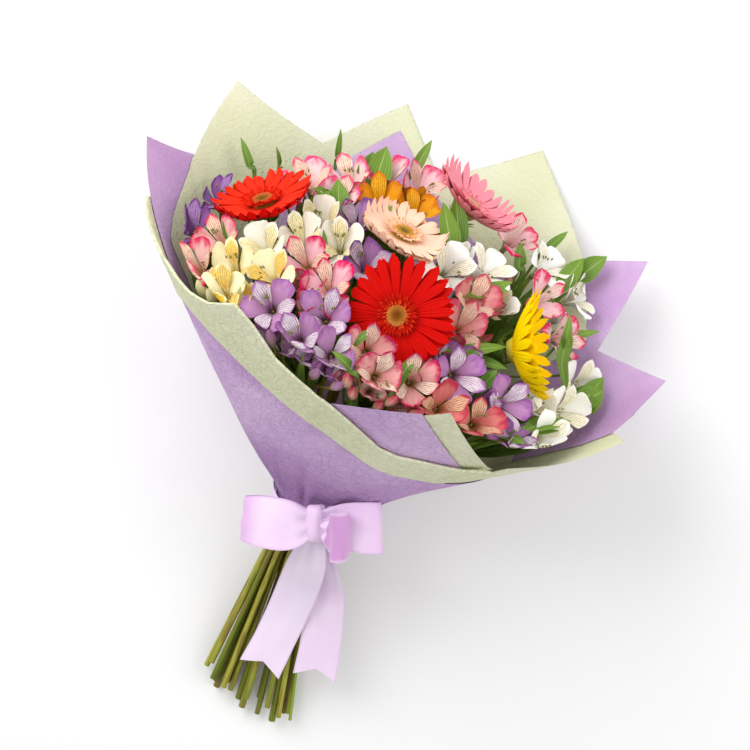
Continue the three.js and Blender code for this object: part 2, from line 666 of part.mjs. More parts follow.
function alstroemeriaHead(florets, buds, blooms) {
  const hub = umbelCentre(florets);
  const umbel = place(hub.x, hub.y, hub.z);
  const up = place(0, 0, 1).sub(place(0, 0, 0));
  const parts = [turned(umbel, up, -HUB_HALF, [[UMBEL_RADIUS, 0]], HUB_HALF, 6)];
  for (const floret of florets) parts.push(alstroemeriaFloret(floret, umbel, keepInRoom(floret, blooms)));
  for (const [x, y] of buds) {
    const base = insideFunnel(place(x, y, domeZ(x, y) - BUD_DEPTH));
    const along = new THREE.Vector3().subVectors(base, umbel).addScaledVector(up, BUD_DEPTH).normalize();
    parts.push(tube([umbel, base.clone().addScaledVector(along, 2)], PEDICEL_RADIUS, 3));
    parts.push(turned(base, along, 0, [[3.2, 4], [4.2, 11]], BUD_LENGTH, 5));
  }
  return join(parts);
}

const OUTWARD = place(0, 0.35, 0.94).sub(place(0, 0, 0));

// A leaf on a thin stalk that rises between the florets and bends out over them.
function leaf(foot, [baseX, baseY, tipX, tipY, rise, width]) {
  const base = insideFunnel(place(baseX, baseY, domeZ(baseX, baseY) - LEAF_DEPTH));
  const tip = insideFunnel(place(tipX, tipY, domeZ(tipX, tipY) + rise));
  const bulge = base.distanceTo(tip) * LEAF_BULGE;
  const path = [
    foot,
    base,
    insideFunnel(between(base, tip, 0.38).addScaledVector(OUTWARD, bulge)),
    insideFunnel(between(base, tip, 0.72).addScaledVector(OUTWARD, bulge * 0.8)),
    tip,
  ];
  return keeledBlade(path, [LEAF_STALK, LEAF_STALK, width, width * 0.78], OUTWARD, KEEL_DEPTH);
}

// Short leaves under the florets reach for the widest gaps round their plant.
function gapLeaves(foot, florets, blooms, taken) {
  const x = florets.reduce((sum, f) => sum + f.x, 0) / florets.length;
  const y = florets.reduce((sum, f) => sum + f.y, 0) / florets.length;
  const leaves = [];
  while (leaves.length < GAP_LEAVES) {
    let best = { room: -Infinity };
    for (let k = 0; k < GAP_DIRECTIONS; k++) {
      const angle = (2 * Math.PI * k) / GAP_DIRECTIONS;
      const [spotX, spotY] = [x + GAP_REACH * Math.cos(angle), y + GAP_REACH * Math.sin(angle)];
      const spot = { x: spotX, y: spotY, room: GAP_LEAF_ROOM };
      const gaps = [...blooms, ...taken].map((b) => Math.hypot(b.x - spotX, b.y - spotY) - b.room);
      const room = Math.min(...gaps);
      if (room > best.room) best = { spot, room };
    }
    taken.push(best.spot);
    const tip = insideFunnel(place(best.spot.x, best.spot.y, domeZ(best.spot.x, best.spot.y) - GAP_DEPTH));
    const middle = insideFunnel(between(foot, tip, 0.6).addScaledVector(OUTWARD, -GAP_HOLLOW));
    leaves.push(keeledBlade([foot, middle, tip], [LEAF_STALK, GAP_WIDTH], OUTWARD, KEEL_DEPTH));
  }
  return leaves;
}

// Stems run straight from the blooms towards the tie, are pushed apart where they meet, and spread
// again below it. tops holds one point [x, y, z] and a radius for each.
function packStems(tops) {
  const stems = tops.map(({ x, y, z, radius }) => ({ x, y, z, radius, path: [] }));
  for (const level of STEM_LEVELS) {
    const below = Math.max(0, NECK_LEVEL - level) / BUNDLE_LENGTH;
    for (const stem of stems) {
      if (level > NECK_LEVEL) {
        const fan = (level - APEX_Z) / (stem.z - APEX_Z);
        stem.now = {
          x: funnelCentre(level) + (stem.x - FUNNEL_SHIFT) * fan,
          y: stem.y * fan,
        };
      } else if (level === NECK_LEVEL) {
        stem.now = { ...stem.last };
      } else {
        stem.now = {
          x: BUNDLE_CENTRE + BUNDLE_LEAN * below
            + (stem.neck.x - BUNDLE_CENTRE) * (1 + BUNDLE_SPREAD * below ** 1.2),
          y: stem.neck.y * (1 - BUNDLE_SINK * below) + BUNDLE_LIFT * below ** 1.7,
        };
      }
    }
    spreadStems(stems, level);
    for (const stem of stems) {
      stem.last = { ...stem.now };
      if (level === NECK_LEVEL) stem.neck = { ...stem.now };
      stem.path.push({ ...stem.now, z: level });
    }
  }
  return stems;
}

function spreadStems(stems, level) {
  const tight = level <= WAIST_TOP + 2 && level >= NECK_LEVEL;
  for (let round = 0; round < PACKING_ROUNDS; round++) {
    for (let i = 0; i < stems.length; i++)
      for (let j = 0; j < i; j++) {
        const [a, b] = [stems[i], stems[j]];
        const apart = Math.hypot(a.now.x - b.now.x, a.now.y - b.now.y) + 1e-6;
        const push = (0.5 * (a.radius + b.radius + STEM_GAP - apart)) / apart;
        if (push <= 0) continue;
        const [dx, dy] = [(a.now.x - b.now.x) * push, (a.now.y - b.now.y) * push];
        a.now.x += dx;
        a.now.y += dy;
        b.now.x -= dx;
        b.now.y -= dy;
      }
    for (const stem of stems) {
      if (tight) keepWithin(stem, 0, BUNDLE_RADIUS - stem.radius, BUNDLE_RADIUS - stem.radius);
      else if (level > 0) {
        const room = layerInset(0) + PAPER + stem.radius + WALL_GAP;
        const turn = Math.atan2(stem.now.x - funnelCentre(level), stem.now.y);
        keepWithin(stem, funnelCentre(level), funnelRadius(SIDE_SLOPE, level) - room,
          funnelRadius(depthSlope(turn), level) - room);
      }
      const lowest = stem.radius + STEM_REST - TIE_HEIGHT - level * Math.sin(AXIS_TILT);
      if (level < NECK_LEVEL) stem.now.y = Math.max(stem.now.y, lowest / Math.cos(AXIS_TILT));
    }
  }
}

function keepWithin(stem, centre, wide, deep) {
  const share = Math.hypot((stem.now.x - centre) / wide, stem.now.y / deep);
  if (share <= 1) return;
  stem.now.x = centre + (stem.now.x - centre) / share;
  stem.now.y /= share;
}

// The cut ends follow one slanted line with some uneven ones.
function cutLevel(stem, index) {
  const end = stem.path[stem.path.length - 2];
  const slant = CUT_SLANT * Math.max(0, end.x - CUT_SLANT_START);
  return CUT_LEVEL + slant + CUT_SCATTER * draw(index, 5) + (end.x < CUT_LEFT ? CUT_LEFT_RISE : 0);
}

function stemPath(stem, index) {
  const cut = cutLevel(stem, index);
  const kept = stem.path.filter(({ z }) => z > cut);
  const next = stem.path[kept.length];
  const last = kept[kept.length - 1];
  const share = (cut - last.z) / (next.z - last.z);
  const end = { x: last.x + (next.x - last.x) * share, y: last.y + (next.y - last.y) * share, z: cut };
  return [...kept, end].map(({ x, y, z }) => place(x, y, z));
}

// A ribbon strip along a path, flat across a given direction at each point.
function strip(path, acrossAt, widthAt) {
  const sideGrid = (offset) => path.map((point, i) => {
    const along = new THREE.Vector3()
      .subVectors(path[Math.min(i + 1, path.length - 1)], path[Math.max(i - 1, 0)])
      .normalize();
    const across = acrossAt(i);
    const face = new THREE.Vector3().crossVectors(along, across).normalize();
    const half = widthAt(i) / 2;
    return [-half, half].map((w) => point.clone()
      .addScaledVector(across, w)
      .addScaledVector(face, offset));
  });
  return thickGrid(sideGrid(RIBBON_THICKNESS / 2), sideGrid(-RIBBON_THICKNESS / 2));
}

// The bow: its loops stand out to both sides of the knot in front of the tie and its two tails lie
// down over the stems. Its own frame: right and up as the viewer sees it, and out of the front.
const BOW = {
  knot: [11.5, 52.5, 27],
  right: [0.891, -0.247, 0.381],
  up: [-0.454, -0.485, 0.747],
  out: [0, 0.839, 0.545],
};

function bowPoint(right, up, out) {
  const along = (i) => BOW.knot[i] + BOW.right[i] * right + BOW.up[i] * up + BOW.out[i] * out;
  return place(along(0), along(1), along(2));
}

function bowLoop(route, acrossDirection, widths) {
  const across = bowPoint(...acrossDirection).sub(bowPoint(0, 0, 0)).normalize();
  return strip(route.map((p) => bowPoint(...p)), () => across, (i) => widths[i]);
}

function ribbonBow() {
  const loops = [
    bowLoop([[-2, 0, 2], [-22, -2, 10], [-46, 1, 9], [-64, 4, 0], [-48, 3, -8], [-22, 0, -7], [-2, 0, -3]],
      [0.1, 1, 0], [20, 42, 44, 38, 40, 36, 20]),
    bowLoop([[2, 0, 2], [22, -2, 9], [42, -4, 10], [57, -5, 3], [44, -4, -6], [22, -1, -5], [2, 0, -3]],
      [-0.06, 1, 0], [20, 38, 44, 44, 42, 36, 20]),
    bowLoop(
      [[4, -4, 6], [12, -9, 14], [14, -11, 26], [22, -11, 31], [29, -10, 24], [27, -7, 14], [10, -3, 4]],
      [0.05, 1, 0.12], [18, 36, 44, 44, 44, 36, 18],
    ),
  ];
  const knot = turned(bowPoint(0, 0, 0), bowPoint(0, 1, 0).sub(bowPoint(0, 0, 0)), -17,
    [[8, -14], [9.5, 0], [8, 13]], 16, 8);
  const root = tube([bowPoint(0, -2, 0), place(10, 36.4, 4)], 3.2, 6);
  return { loops, knot, root };
}

// Tails: [x, y, z] down the front of the bundle.
const TAILS = [
  { route: [[15.5, 57, 19], [21, 54, -16], [24, 42, -55], [26, 41, -90], [27, 47, -122], [27, 55, -147]],
    widths: [18, 34, 38, 38, 38, 40] },
  { route: [[17.5, 55, 19], [32, 46, -16], [45, 34, -48], [57, 35, -80], [67, 41, -108], [74, 48, -132]],
    widths: [18, 32, 38, 38, 38, 40] },
];

function ribbonTail({ route, widths }) {
  const across = place(1, 0, 0).sub(place(0, 0, 0));
  return strip(route.map((p) => place(...p)), () => across, (i) => widths[i]);
}

function ribbonBand() {
  const count = BAND_FACETS;
  const turns = Array.from({ length: count }, (_, i) => (i * 360) / count);
  const [outer, inner] = BAND_OFFSETS.map((offset) => [-BAND_HALF_WIDTH, BAND_HALF_WIDTH]
    .map((z) => turns.map((turn) => funnelPoint(turn, z, -offset))));
  const points = [...outer.flat(), ...inner.flat()];
  const at = (side, row, column) => side * 2 * count + row * count + (column % count);
  const faces = [];
  for (let c = 0; c < count; c++)
    for (const [a, b, d, e] of [
      [at(0, 0, c), at(0, 0, c + 1), at(0, 1, c + 1), at(0, 1, c)],
      [at(1, 1, c), at(1, 1, c + 1), at(1, 0, c + 1), at(1, 0, c)],
      [at(0, 1, c), at(0, 1, c + 1), at(1, 1, c + 1), at(1, 1, c)],
      [at(1, 0, c), at(1, 0, c + 1), at(0, 0, c + 1), at(0, 0, c)],
    ]) faces.push([a, b, d], [a, d, e]);
  return solid(points, faces);
}

function tieRibbon() {
  const { loops, knot, root } = ribbonBow();
  const ribbon = join([ribbonBand(), knot, root, ...loops, ...TAILS.map(ribbonTail)]);
  addBody("satin_ribbon_bow", SATIN, ribbon, 1, 0.35);
}

// A ring of twine that holds the stems under the paper.
function bindingTwine() {
  const [inner, outer] = TWINE;
  const outline = new THREE.Shape().absarc(0, 0, outer, 0, 2 * Math.PI);
  outline.holes.push(new THREE.Path().absarc(0, 0, inner, 0, 2 * Math.PI));
  const ring = new THREE.ExtrudeGeometry(outline, {
    depth: 2 * TWINE_HALF_LENGTH, bevelEnabled: false, curveSegments: 7,
  });
  return ring
    .translate(0, 0, -TWINE_HALF_LENGTH)
    .rotateX(AXIS_TILT - Math.PI / 2)
    .translate(0, 0, TIE_HEIGHT);
}

function growBlooms() {
  const blooms = layOutBlooms();
  const tops = [];
  for (const gerbera of GERBERAS) {
    const bloom = blooms.find(({ owner }) => owner === gerbera.name);
    bloom.centre.addScaledVector(bloom.normal, GERBERA_RISE);
    const petals = gerberaBloom(bloom, gerbera.cup, keepInRoom(bloom, blooms));
    addBody(`gerbera_${gerbera.name}_bloom`, gerbera.colour, petals, 2);
    const knee = unplace(bloom.centre.clone().addScaledVector(bloom.normal, -GERBERA_NECK));
    tops.push({ ...knee, radius: GERBERA_STEM, bloom, gerbera });
  }
  for (const plant of ALSTROEMERIAS) {
    const florets = blooms.filter(({ owner }) => owner === plant.name);
    const head = alstroemeriaHead(florets, plant.buds, blooms);
    addBody(`alstroemeria_${plant.name}_blooms`, plant.colour, head, 3);
    const hub = umbelCentre(florets);
    tops.push({ ...hub, z: hub.z - HUB_HALF, radius: ALSTROEMERIA_STEM, plant, florets });
  }
  const [fx, fy] = FILLER.heads[0];
  const fork = { x: fx * FILLER_FAN, y: fy * FILLER_FAN, z: domeZ(fx, fy) - FILLER_DEPTH };
  tops.push({ ...fork, radius: FILLER_STEM, filler: FILLER });
  growStems(tops, blooms);
}

function growStems(tops, blooms) {
  const taken = [];
  packStems(tops).forEach((stem, i) => {
    const top = tops[i];
    const path = stemPath(stem, i);
    if (top.gerbera) {
      const { centre, normal } = top.bloom;
      const back = centre.clone().addScaledVector(normal, -15);
      const parts = [
        tube([back, place(top.x, top.y, top.z), ...path], top.radius, 5),
        turned(centre, normal, -19, [[4.2, -15.5], [SEPAL_RADIUS, -10.6]], -9.6, 8),
      ];
      addBody(`gerbera_${top.gerbera.name}_stem`, STEM_GREEN, join(parts), 4);
    } else if (top.plant) {
      const head = place(top.x, top.y, top.z);
      const parts = [tube([head, ...path], top.radius, 5)];
      const foot = between(head, path[0], FOOT_SHARE);
      for (const shape of top.plant.leaves) parts.push(leaf(foot, shape));
      parts.push(...gapLeaves(foot, top.florets, blooms, taken));
      addBody(`alstroemeria_${top.plant.name}_stem`, LEAF_GREEN, join(parts), 5);
    } else {
      const head = place(top.x, top.y, top.z);
      const parts = [tube([head, ...path], top.radius, 5)];
      for (const [x, y] of top.filler.heads) {
        const ball = insideFunnel(place(x, y, domeZ(x, y) - FILLER_HEAD_DEPTH));
        parts.push(tube([head, ball], FILLER_TWIG_RADIUS, 3));
        const [radius, up] = [FILLER_HEAD_RADIUS, new THREE.Vector3(0, 0, 1)];
        parts.push(turned(ball, up, -radius, [[radius, 0]], radius, 6));
      }
      addBody(top.filler.name, top.filler.colour, join(parts), 6);
    }
  });
}

// Convex block around the place where two pieces cross, a little larger than it.
function clearanceBlock(crossing) {
  const { vertProperties, numProp } = crossing.getMesh();
  const points = [];
  for (let i = 0; i < vertProperties.length; i += numProp)
    points.push(new THREE.Vector3(vertProperties[i], vertProperties[i + 1], vertProperties[i + 2]));
  const middle = points.reduce((sum, p) => sum.add(p), new THREE.Vector3()).divideScalar(points.length);
  const grown = points.flatMap((p) => [-1, 1].flatMap((s) => [
    p.clone().add(new THREE.Vector3(s * CLEARANCE, 0, 0)),
    p.clone().add(new THREE.Vector3(0, s * CLEARANCE, 0)),
    p.clone().add(new THREE.Vector3(0, 0, s * CLEARANCE)),
  ])).map((p) => p.addScaledVector(new THREE.Vector3().subVectors(p, middle), CLEARANCE_GROWTH));
  const hull = new ConvexGeometry(grown);
  return fromGeometry(hull);
}

function fromGeometry(geometry) {
  const flat = geometry.index ? geometry.toNonIndexed() : geometry;
  const position = flat.getAttribute("position");
  const keys = new Map();
  const points = [];
  const corners = [];
  for (let i = 0; i < position.count; i++) {
    const p = new THREE.Vector3().fromBufferAttribute(position, i);
    const key = [p.x, p.y, p.z].map((v) => Math.round(v * 1e4)).join();
    if (!keys.has(key)) {
      keys.set(key, points.length);
      points.push(p);
    }
    corners.push(keys.get(key));
  }
  const faces = [];
  for (let i = 0; i < corners.length; i += 3) {
    const [a, b, c] = corners.slice(i, i + 3);
    if (a !== b && b !== c && c !== a) faces.push([a, b, c]);
  }
  return solid(points, faces);
}

function largestBody(body) {
  const loose = body.decompose();
  return loose.reduce((best, piece) => (piece.volume() > best.volume() ? piece : best));
}

// Pieces that still cross are cut clear: the one of the higher rank gives way.
function clearPieces() {
  for (let i = 0; i < bodies.length; i++)
    for (let j = 0; j < i; j++) {
      const [keep, give] = bodies[i].rank <= bodies[j].rank ? [bodies[i], bodies[j]] : [bodies[j], bodies[i]];
      const crossing = keep.body.intersect(give.body);
      if (crossing.isEmpty() || crossing.volume() < SMALLEST_CROSSING) continue;
      for (const part of crossing.decompose()) give.body = give.body.subtract(clearanceBlock(part));
      give.body = largestBody(give.body);
    }
}

function meshOf({ name, colour, body, roughness }) {
  const { vertProperties, triVerts } = largestBody(body.simplify(SHORTEST_EDGE)).getMesh();
  const geometry = new THREE.BufferGeometry();
  geometry.setAttribute("position", new THREE.BufferAttribute(new Float32Array(vertProperties), 3));
  geometry.setIndex(new THREE.BufferAttribute(new Uint32Array(triVerts), 1));
  const material = new THREE.MeshStandardMaterial({ color: colour, roughness, metalness: 0 });
  const mesh = new THREE.Mesh(geometry, material);
  mesh.name = name;
  return mesh;
}

wrapBouquet();
tieRibbon();
growBlooms();
addBody("binding_twine", TWINE_BROWN, fromGeometry(bindingTwine()), 1);
clearPieces();
for (const body of bodies) group.add(meshOf(body));

// The part's origin is at the middle of its footprint on the table.
const extent = new THREE.Box3().setFromObject(group);
const middle = extent.getCenter(new THREE.Vector3());
group.position.set(-middle.x, -middle.y, -extent.min.z);

export default group;
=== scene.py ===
"""Mixed bouquet of gerberas and alstroemerias in lilac and pale green florist's paper, tied with a
satin bow and lying on its back on a pale table. Lengths are millimetres until a mesh is made."""
import math

import bpy
import numpy as np
from mathutils import Matrix


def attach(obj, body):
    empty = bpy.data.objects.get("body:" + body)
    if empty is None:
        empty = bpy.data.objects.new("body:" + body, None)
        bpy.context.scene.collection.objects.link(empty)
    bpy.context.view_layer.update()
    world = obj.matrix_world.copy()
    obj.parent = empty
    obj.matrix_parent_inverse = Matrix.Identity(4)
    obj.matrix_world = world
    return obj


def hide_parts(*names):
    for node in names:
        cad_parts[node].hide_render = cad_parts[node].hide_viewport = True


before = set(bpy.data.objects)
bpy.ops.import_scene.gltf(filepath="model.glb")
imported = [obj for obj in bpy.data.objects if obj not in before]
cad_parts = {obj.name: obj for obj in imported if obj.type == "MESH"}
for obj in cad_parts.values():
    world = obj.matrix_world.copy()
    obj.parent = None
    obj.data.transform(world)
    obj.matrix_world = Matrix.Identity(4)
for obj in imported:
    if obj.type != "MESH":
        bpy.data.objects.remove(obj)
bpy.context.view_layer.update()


# How the bouquet lies: its own frame has x to the right, y out of its front and z along its axis
# from the tie to the blooms. The axis rises 26 degrees from the table, the stems' ends and two
# paper tips touch it.
AXIS_TILT = math.radians(26)
TIE = np.array([19.54, -82.21, 62.99])


def turn_down(vector):
    x, y, z = np.moveaxis(np.asarray(vector, float), -1, 0)
    cos, sin = math.cos(AXIS_TILT), math.sin(AXIS_TILT)
    return np.stack([x, z * cos - y * sin, z * sin + y * cos], -1)


def place(point):
    return turn_down(point) + TIE


def unplace(point):
    x, run, rise = np.moveaxis(np.asarray(point, float) - TIE, -1, 0)
    cos, sin = math.cos(AXIS_TILT), math.sin(AXIS_TILT)
    return np.stack([x, rise * cos - run * sin, rise * sin + run * cos], -1)


# The blooms' places: they stand on a dome over the tie, inside the paper funnel. Crowded petals bend
# back from their neighbours and from the paper instead of crossing them.
GERBERAS = {  # place on the dome, room, facing, cup
    "red_front": ((-4, 55), 44, (-0.2, 0.88, 0.45), 0),
    "red_left": ((-142, -14), 34, (-0.57, 0.08, 0.81), 5),
    "yellow": ((84, 18), 31, (0.8, -0.1, 0.5), 20),
    "pink": ((3, -90), 30, (0.25, -0.2, 0.85), 15),
    "peach": ((-33, -15), 32, (0, -0.05, 1), 3),
}
ALSTROEMERIAS = {  # florets (x, y, room), buds (x, y), leaves (base, tip, rise of the tip, width)
    "plum_left": ([(-191, -37, 19), (-194, 7, 19)], [], [(-169, -76, -208, -96, 30, 6)]),
    "rose_left": ([(-165, 25, 19), (-170, 57, 19)], [], [(-152, 18, -170, 14, 12, 8)]),
    "yellow_left": ([(-143, 56, 20), (-111, 61, 20), (-138, 87, 18)], [(-154, 78)], []),
    "cream": ([(-128, 31, 19), (-105, 11, 19), (-74, 9, 19), (-98, -16, 17)], [],
              [(-118, -8, -104, -42, 12, 12)]),
    "magenta": ([(-92, 39, 20), (-66, 58, 21)], [], [(-84, 24, -92, 10, 12, 8)]),
    "violet_front": ([(-98, 94, 20), (-56, 88, 21), (-66, 116, 19), (-38, 119, 19)], [],
                     [(-34, 104, -18, 92, 12, 6)]),
    "violet_mid": ([(-73, -26, 19), (-48, 20, 18)], [], [(-60, -18, -52, -42, 14, 8)]),
    "rose_top": ([(-126, -69, 20), (-97, -82, 17), (-95, -48, 18)], [(-110, -44)],
                 [(-84, -60, -118, -44, 10, 14), (-150, -86, -165, -82, 25, 4),
                  (-112, -106, -124, -114, 30, 4)]),
    "rose_back": ([(-71, -104, 19), (-39, -105, 18)], [], [(-52, -118, -50, -148, 22, 7)]),
    "ochre_back": ([(-64, -60, 19), (-32, -64, 19)], [], [(-80, -82, -90, -112, 14, 15)]),
    "white_mid": ([(13, -17, 19), (43, -47, 22)], [(8, -38)], [(18, -36, -16, -58, 25, 13)]),
    "white_right": ([(90, -112, 22), (127, -117, 18)], [],
                    [(118, -134, 148, -160, 30, 14), (106, -100, 116, -138, 20, 12),
                     (80, -132, 94, -160, 15, 6)]),
    "coral_right": ([(52, -108, 19), (96, -67, 19), (126, -51, 19)], [(66, -82)],
                    [(72, -80, 58, -92, 12, 8), (140, -36, 128, -30, 26, 7)]),
    "salmon_mid": ([(43, 31, 19), (44, -4, 18)], [(62, 2)],
                   [(28, -18, 66, -22, 15, 12), (56, 42, 92, 40, 8, 7)]),
    "salmon_front": ([(-15, 101, 18), (1, 118, 19), (28, 104, 19)], [(14, 96), (-22, 84)],
                     [(-8, 130, -42, 146, 8, 7), (16, 120, 20, 92, 12, 7)]),
    "salmon_low": ([(88, 98, 19), (57, 110, 18)], [], [(100, 76, 136, 84, 6, 9)]),
    "violet_right": ([(57, 74, 22), (103, 61, 20)], [(80, 52)], [(76, 68, 84, 56, 14, 8)]),
    "white_low": ([(158, -31, 22), (154, 8, 18), (146, 51, 19)], [],
                  [(158, -10, 196, -36, 18, 18), (118, 64, 158, 34, 10, 8), (128, -66, 156, -92, 12, 6)]),
}
DOME_TOP = 267
SHIFT = -14
APEX = 28
SIDE_SLOPE = 0.89
MEAN_DEPTH_SLOPE = 0.63
WAIST_RADIUS = 33
WAIST_TOP = 12
FLARE = 1.6
SOFTNESS = 8
CLEARANCE = 10.6


def unit(vector):
    return vector / np.linalg.norm(vector, axis=-1, keepdims=True)


def draw(index, kind):
    """A repeatable value between -1 and 1."""
    wave = math.sin(index * 12.9898 + kind * 78.233) * 43758.5453
    return 2 * (wave - math.floor(wave)) - 1


def dome(x, y):
    across = x - SHIFT
    return DOME_TOP - 0.0018 * across * across - 0.22 * y - 0.0006 * y * y


def soft_max(a, b):
    return 0.5 * (a + b + np.hypot(a - b, SOFTNESS))


def soft_min(a, b):
    return 0.5 * (a + b - np.hypot(a - b, SOFTNESS))


def funnel_centre(z):
    """The funnel leans to one side above the tie."""
    return SHIFT / (1 + np.exp(-(np.asarray(z, float) - 40) / 15))


def funnel_radius(slope, z):
    """A cone that runs out of a narrow waist at the tie."""
    return soft_max(WAIST_RADIUS, soft_min(slope * (z + APEX), WAIST_RADIUS + FLARE * (z - WAIST_TOP)))


def depth_slope(turn):
    """The funnel opens less to the front than to the back."""
    return 0.6225 - 0.0625 * np.cos(turn)


def inside_funnel(points, free=0.9, most=0.975):
    """Draws points near the paper or past it back to its inside, and up a little."""
    x, y, z = np.moveaxis(unplace(points), -1, 0)
    centre = funnel_centre(z)
    turn = np.arctan2((x - centre) / SIDE_SLOPE, y / MEAN_DEPTH_SLOPE)
    wide, deep = (funnel_radius(slope, z) - CLEARANCE for slope in (SIDE_SLOPE, depth_slope(turn)))
    share = np.hypot((x - centre) / wide, y / deep)
    kept = free + (most - free) * (1 - np.exp(np.minimum(0, free - share) / (most - free)))
    pull = np.where(share > free, kept / np.maximum(share, 1e-6), 1)
    lift = 0.7 * np.hypot(x - centre, y) * (1 - pull)
    return place(np.stack([centre + (x - centre) * pull, y * pull, z + lift], -1))


class Bloom:
    """One flower head: where it stands, where it faces and how much room its petals have."""

    def __init__(self, owner, x, y, room, facing=None, cup=0, size=1.0, closed=0.0, sink=0.0):
        self.owner, self.at, self.room, self.facing = owner, np.array([x, y], float), room, facing
        self.cup, self.size, self.closed, self.sink = cup, size, closed, sink

    def settle(self, index):
        """Sets the head's centre, spin and axes. Heads look outwards and towards the front."""
        x, y = self.at
        facing = self.facing or ((x - SHIFT) / 290 + 0.13 * draw(index, 1),
                                 y / 290 + 0.52 + 0.13 * draw(index, 2), 0.72)
        self.normal = unit(turn_down(facing))
        self.centre = place((x, y, dome(x, y) - self.sink))
        self.spin = math.pi * draw(index, 3)
        self.index = index
        helper = np.array([1.0, 0, 0]) if abs(self.normal[0]) < 0.8 else np.array([0, 0, 1.0])
        self.across = unit(np.cross(self.normal, helper))
        self.other = unit(np.cross(self.normal, self.across))

    def petal(self, angle, reach, rise, aside):
        """Points of a petal that stands at an angle round the bloom."""
        cos, sin = math.cos(self.spin + angle), math.sin(self.spin + angle)
        a, b, c = (self.size * np.asarray(v)[..., None]
                   for v in (reach * cos - aside * sin, reach * sin + aside * cos, rise))
        return self.crowd(self.centre + a * self.across + b * self.other + c * self.normal)

    def crowd(self, points, soft=8, overlap=2.4):
        """Bends points back from the borders with the neighbouring heads."""
        for other in blooms:
            towards = other.centre - self.centre
            apart = np.linalg.norm(towards)
            if other is self or apart > other.room + self.room + 30:
                continue
            towards = towards / apart
            border = apart * self.room / (self.room + other.room) + overlap
            left = border - (points - self.centre) @ towards
            kept = soft * np.exp(np.minimum(left - soft, 0) / soft)
            back = np.where(left < soft, kept - left, 0)[..., None]
            points = points - back * towards + 0.5 * back * self.normal
        return inside_funnel(points)


blooms = [Bloom(name, *at, room, facing, cup) for name, (at, room, facing, cup) in GERBERAS.items()]
blooms += [Bloom(name, *floret) for name, (florets, _, _) in ALSTROEMERIAS.items() for floret in florets]
for index, bloom in enumerate(blooms):
    bloom.settle(index)
for bloom in blooms[:len(GERBERAS)]:
    bloom.centre = bloom.centre + 10 * bloom.normal


# Gerberas: two rings of long ray petals with a crease along each, two rings of short ones, and a
# disc of tiny florets. Petals are thin, velvety on top and paler below.
def flow(knots, count):
    """A smooth curve through the knots, at evenly spaced shares of their number."""
    knots = np.asarray(knots, float)
    padded = np.vstack([2 * knots[0] - knots[1], knots, 2 * knots[-1] - knots[-2]])
    share = np.linspace(0, len(knots) - 1 - 1e-9, count)
    i = share.astype(int)
    t = (share - i)[:, None]
    a, b, c, d = (padded[i + k] for k in range(4))
    return 0.5 * (2 * b + (c - a) * t + (2 * a - 5 * b + 4 * c - d) * t**2 + (3 * b - a - 3 * c + d) * t**3)


def taper(widths, count):
    """A column of smoothly changing widths."""
    return flow([(width,) for width in widths], count)


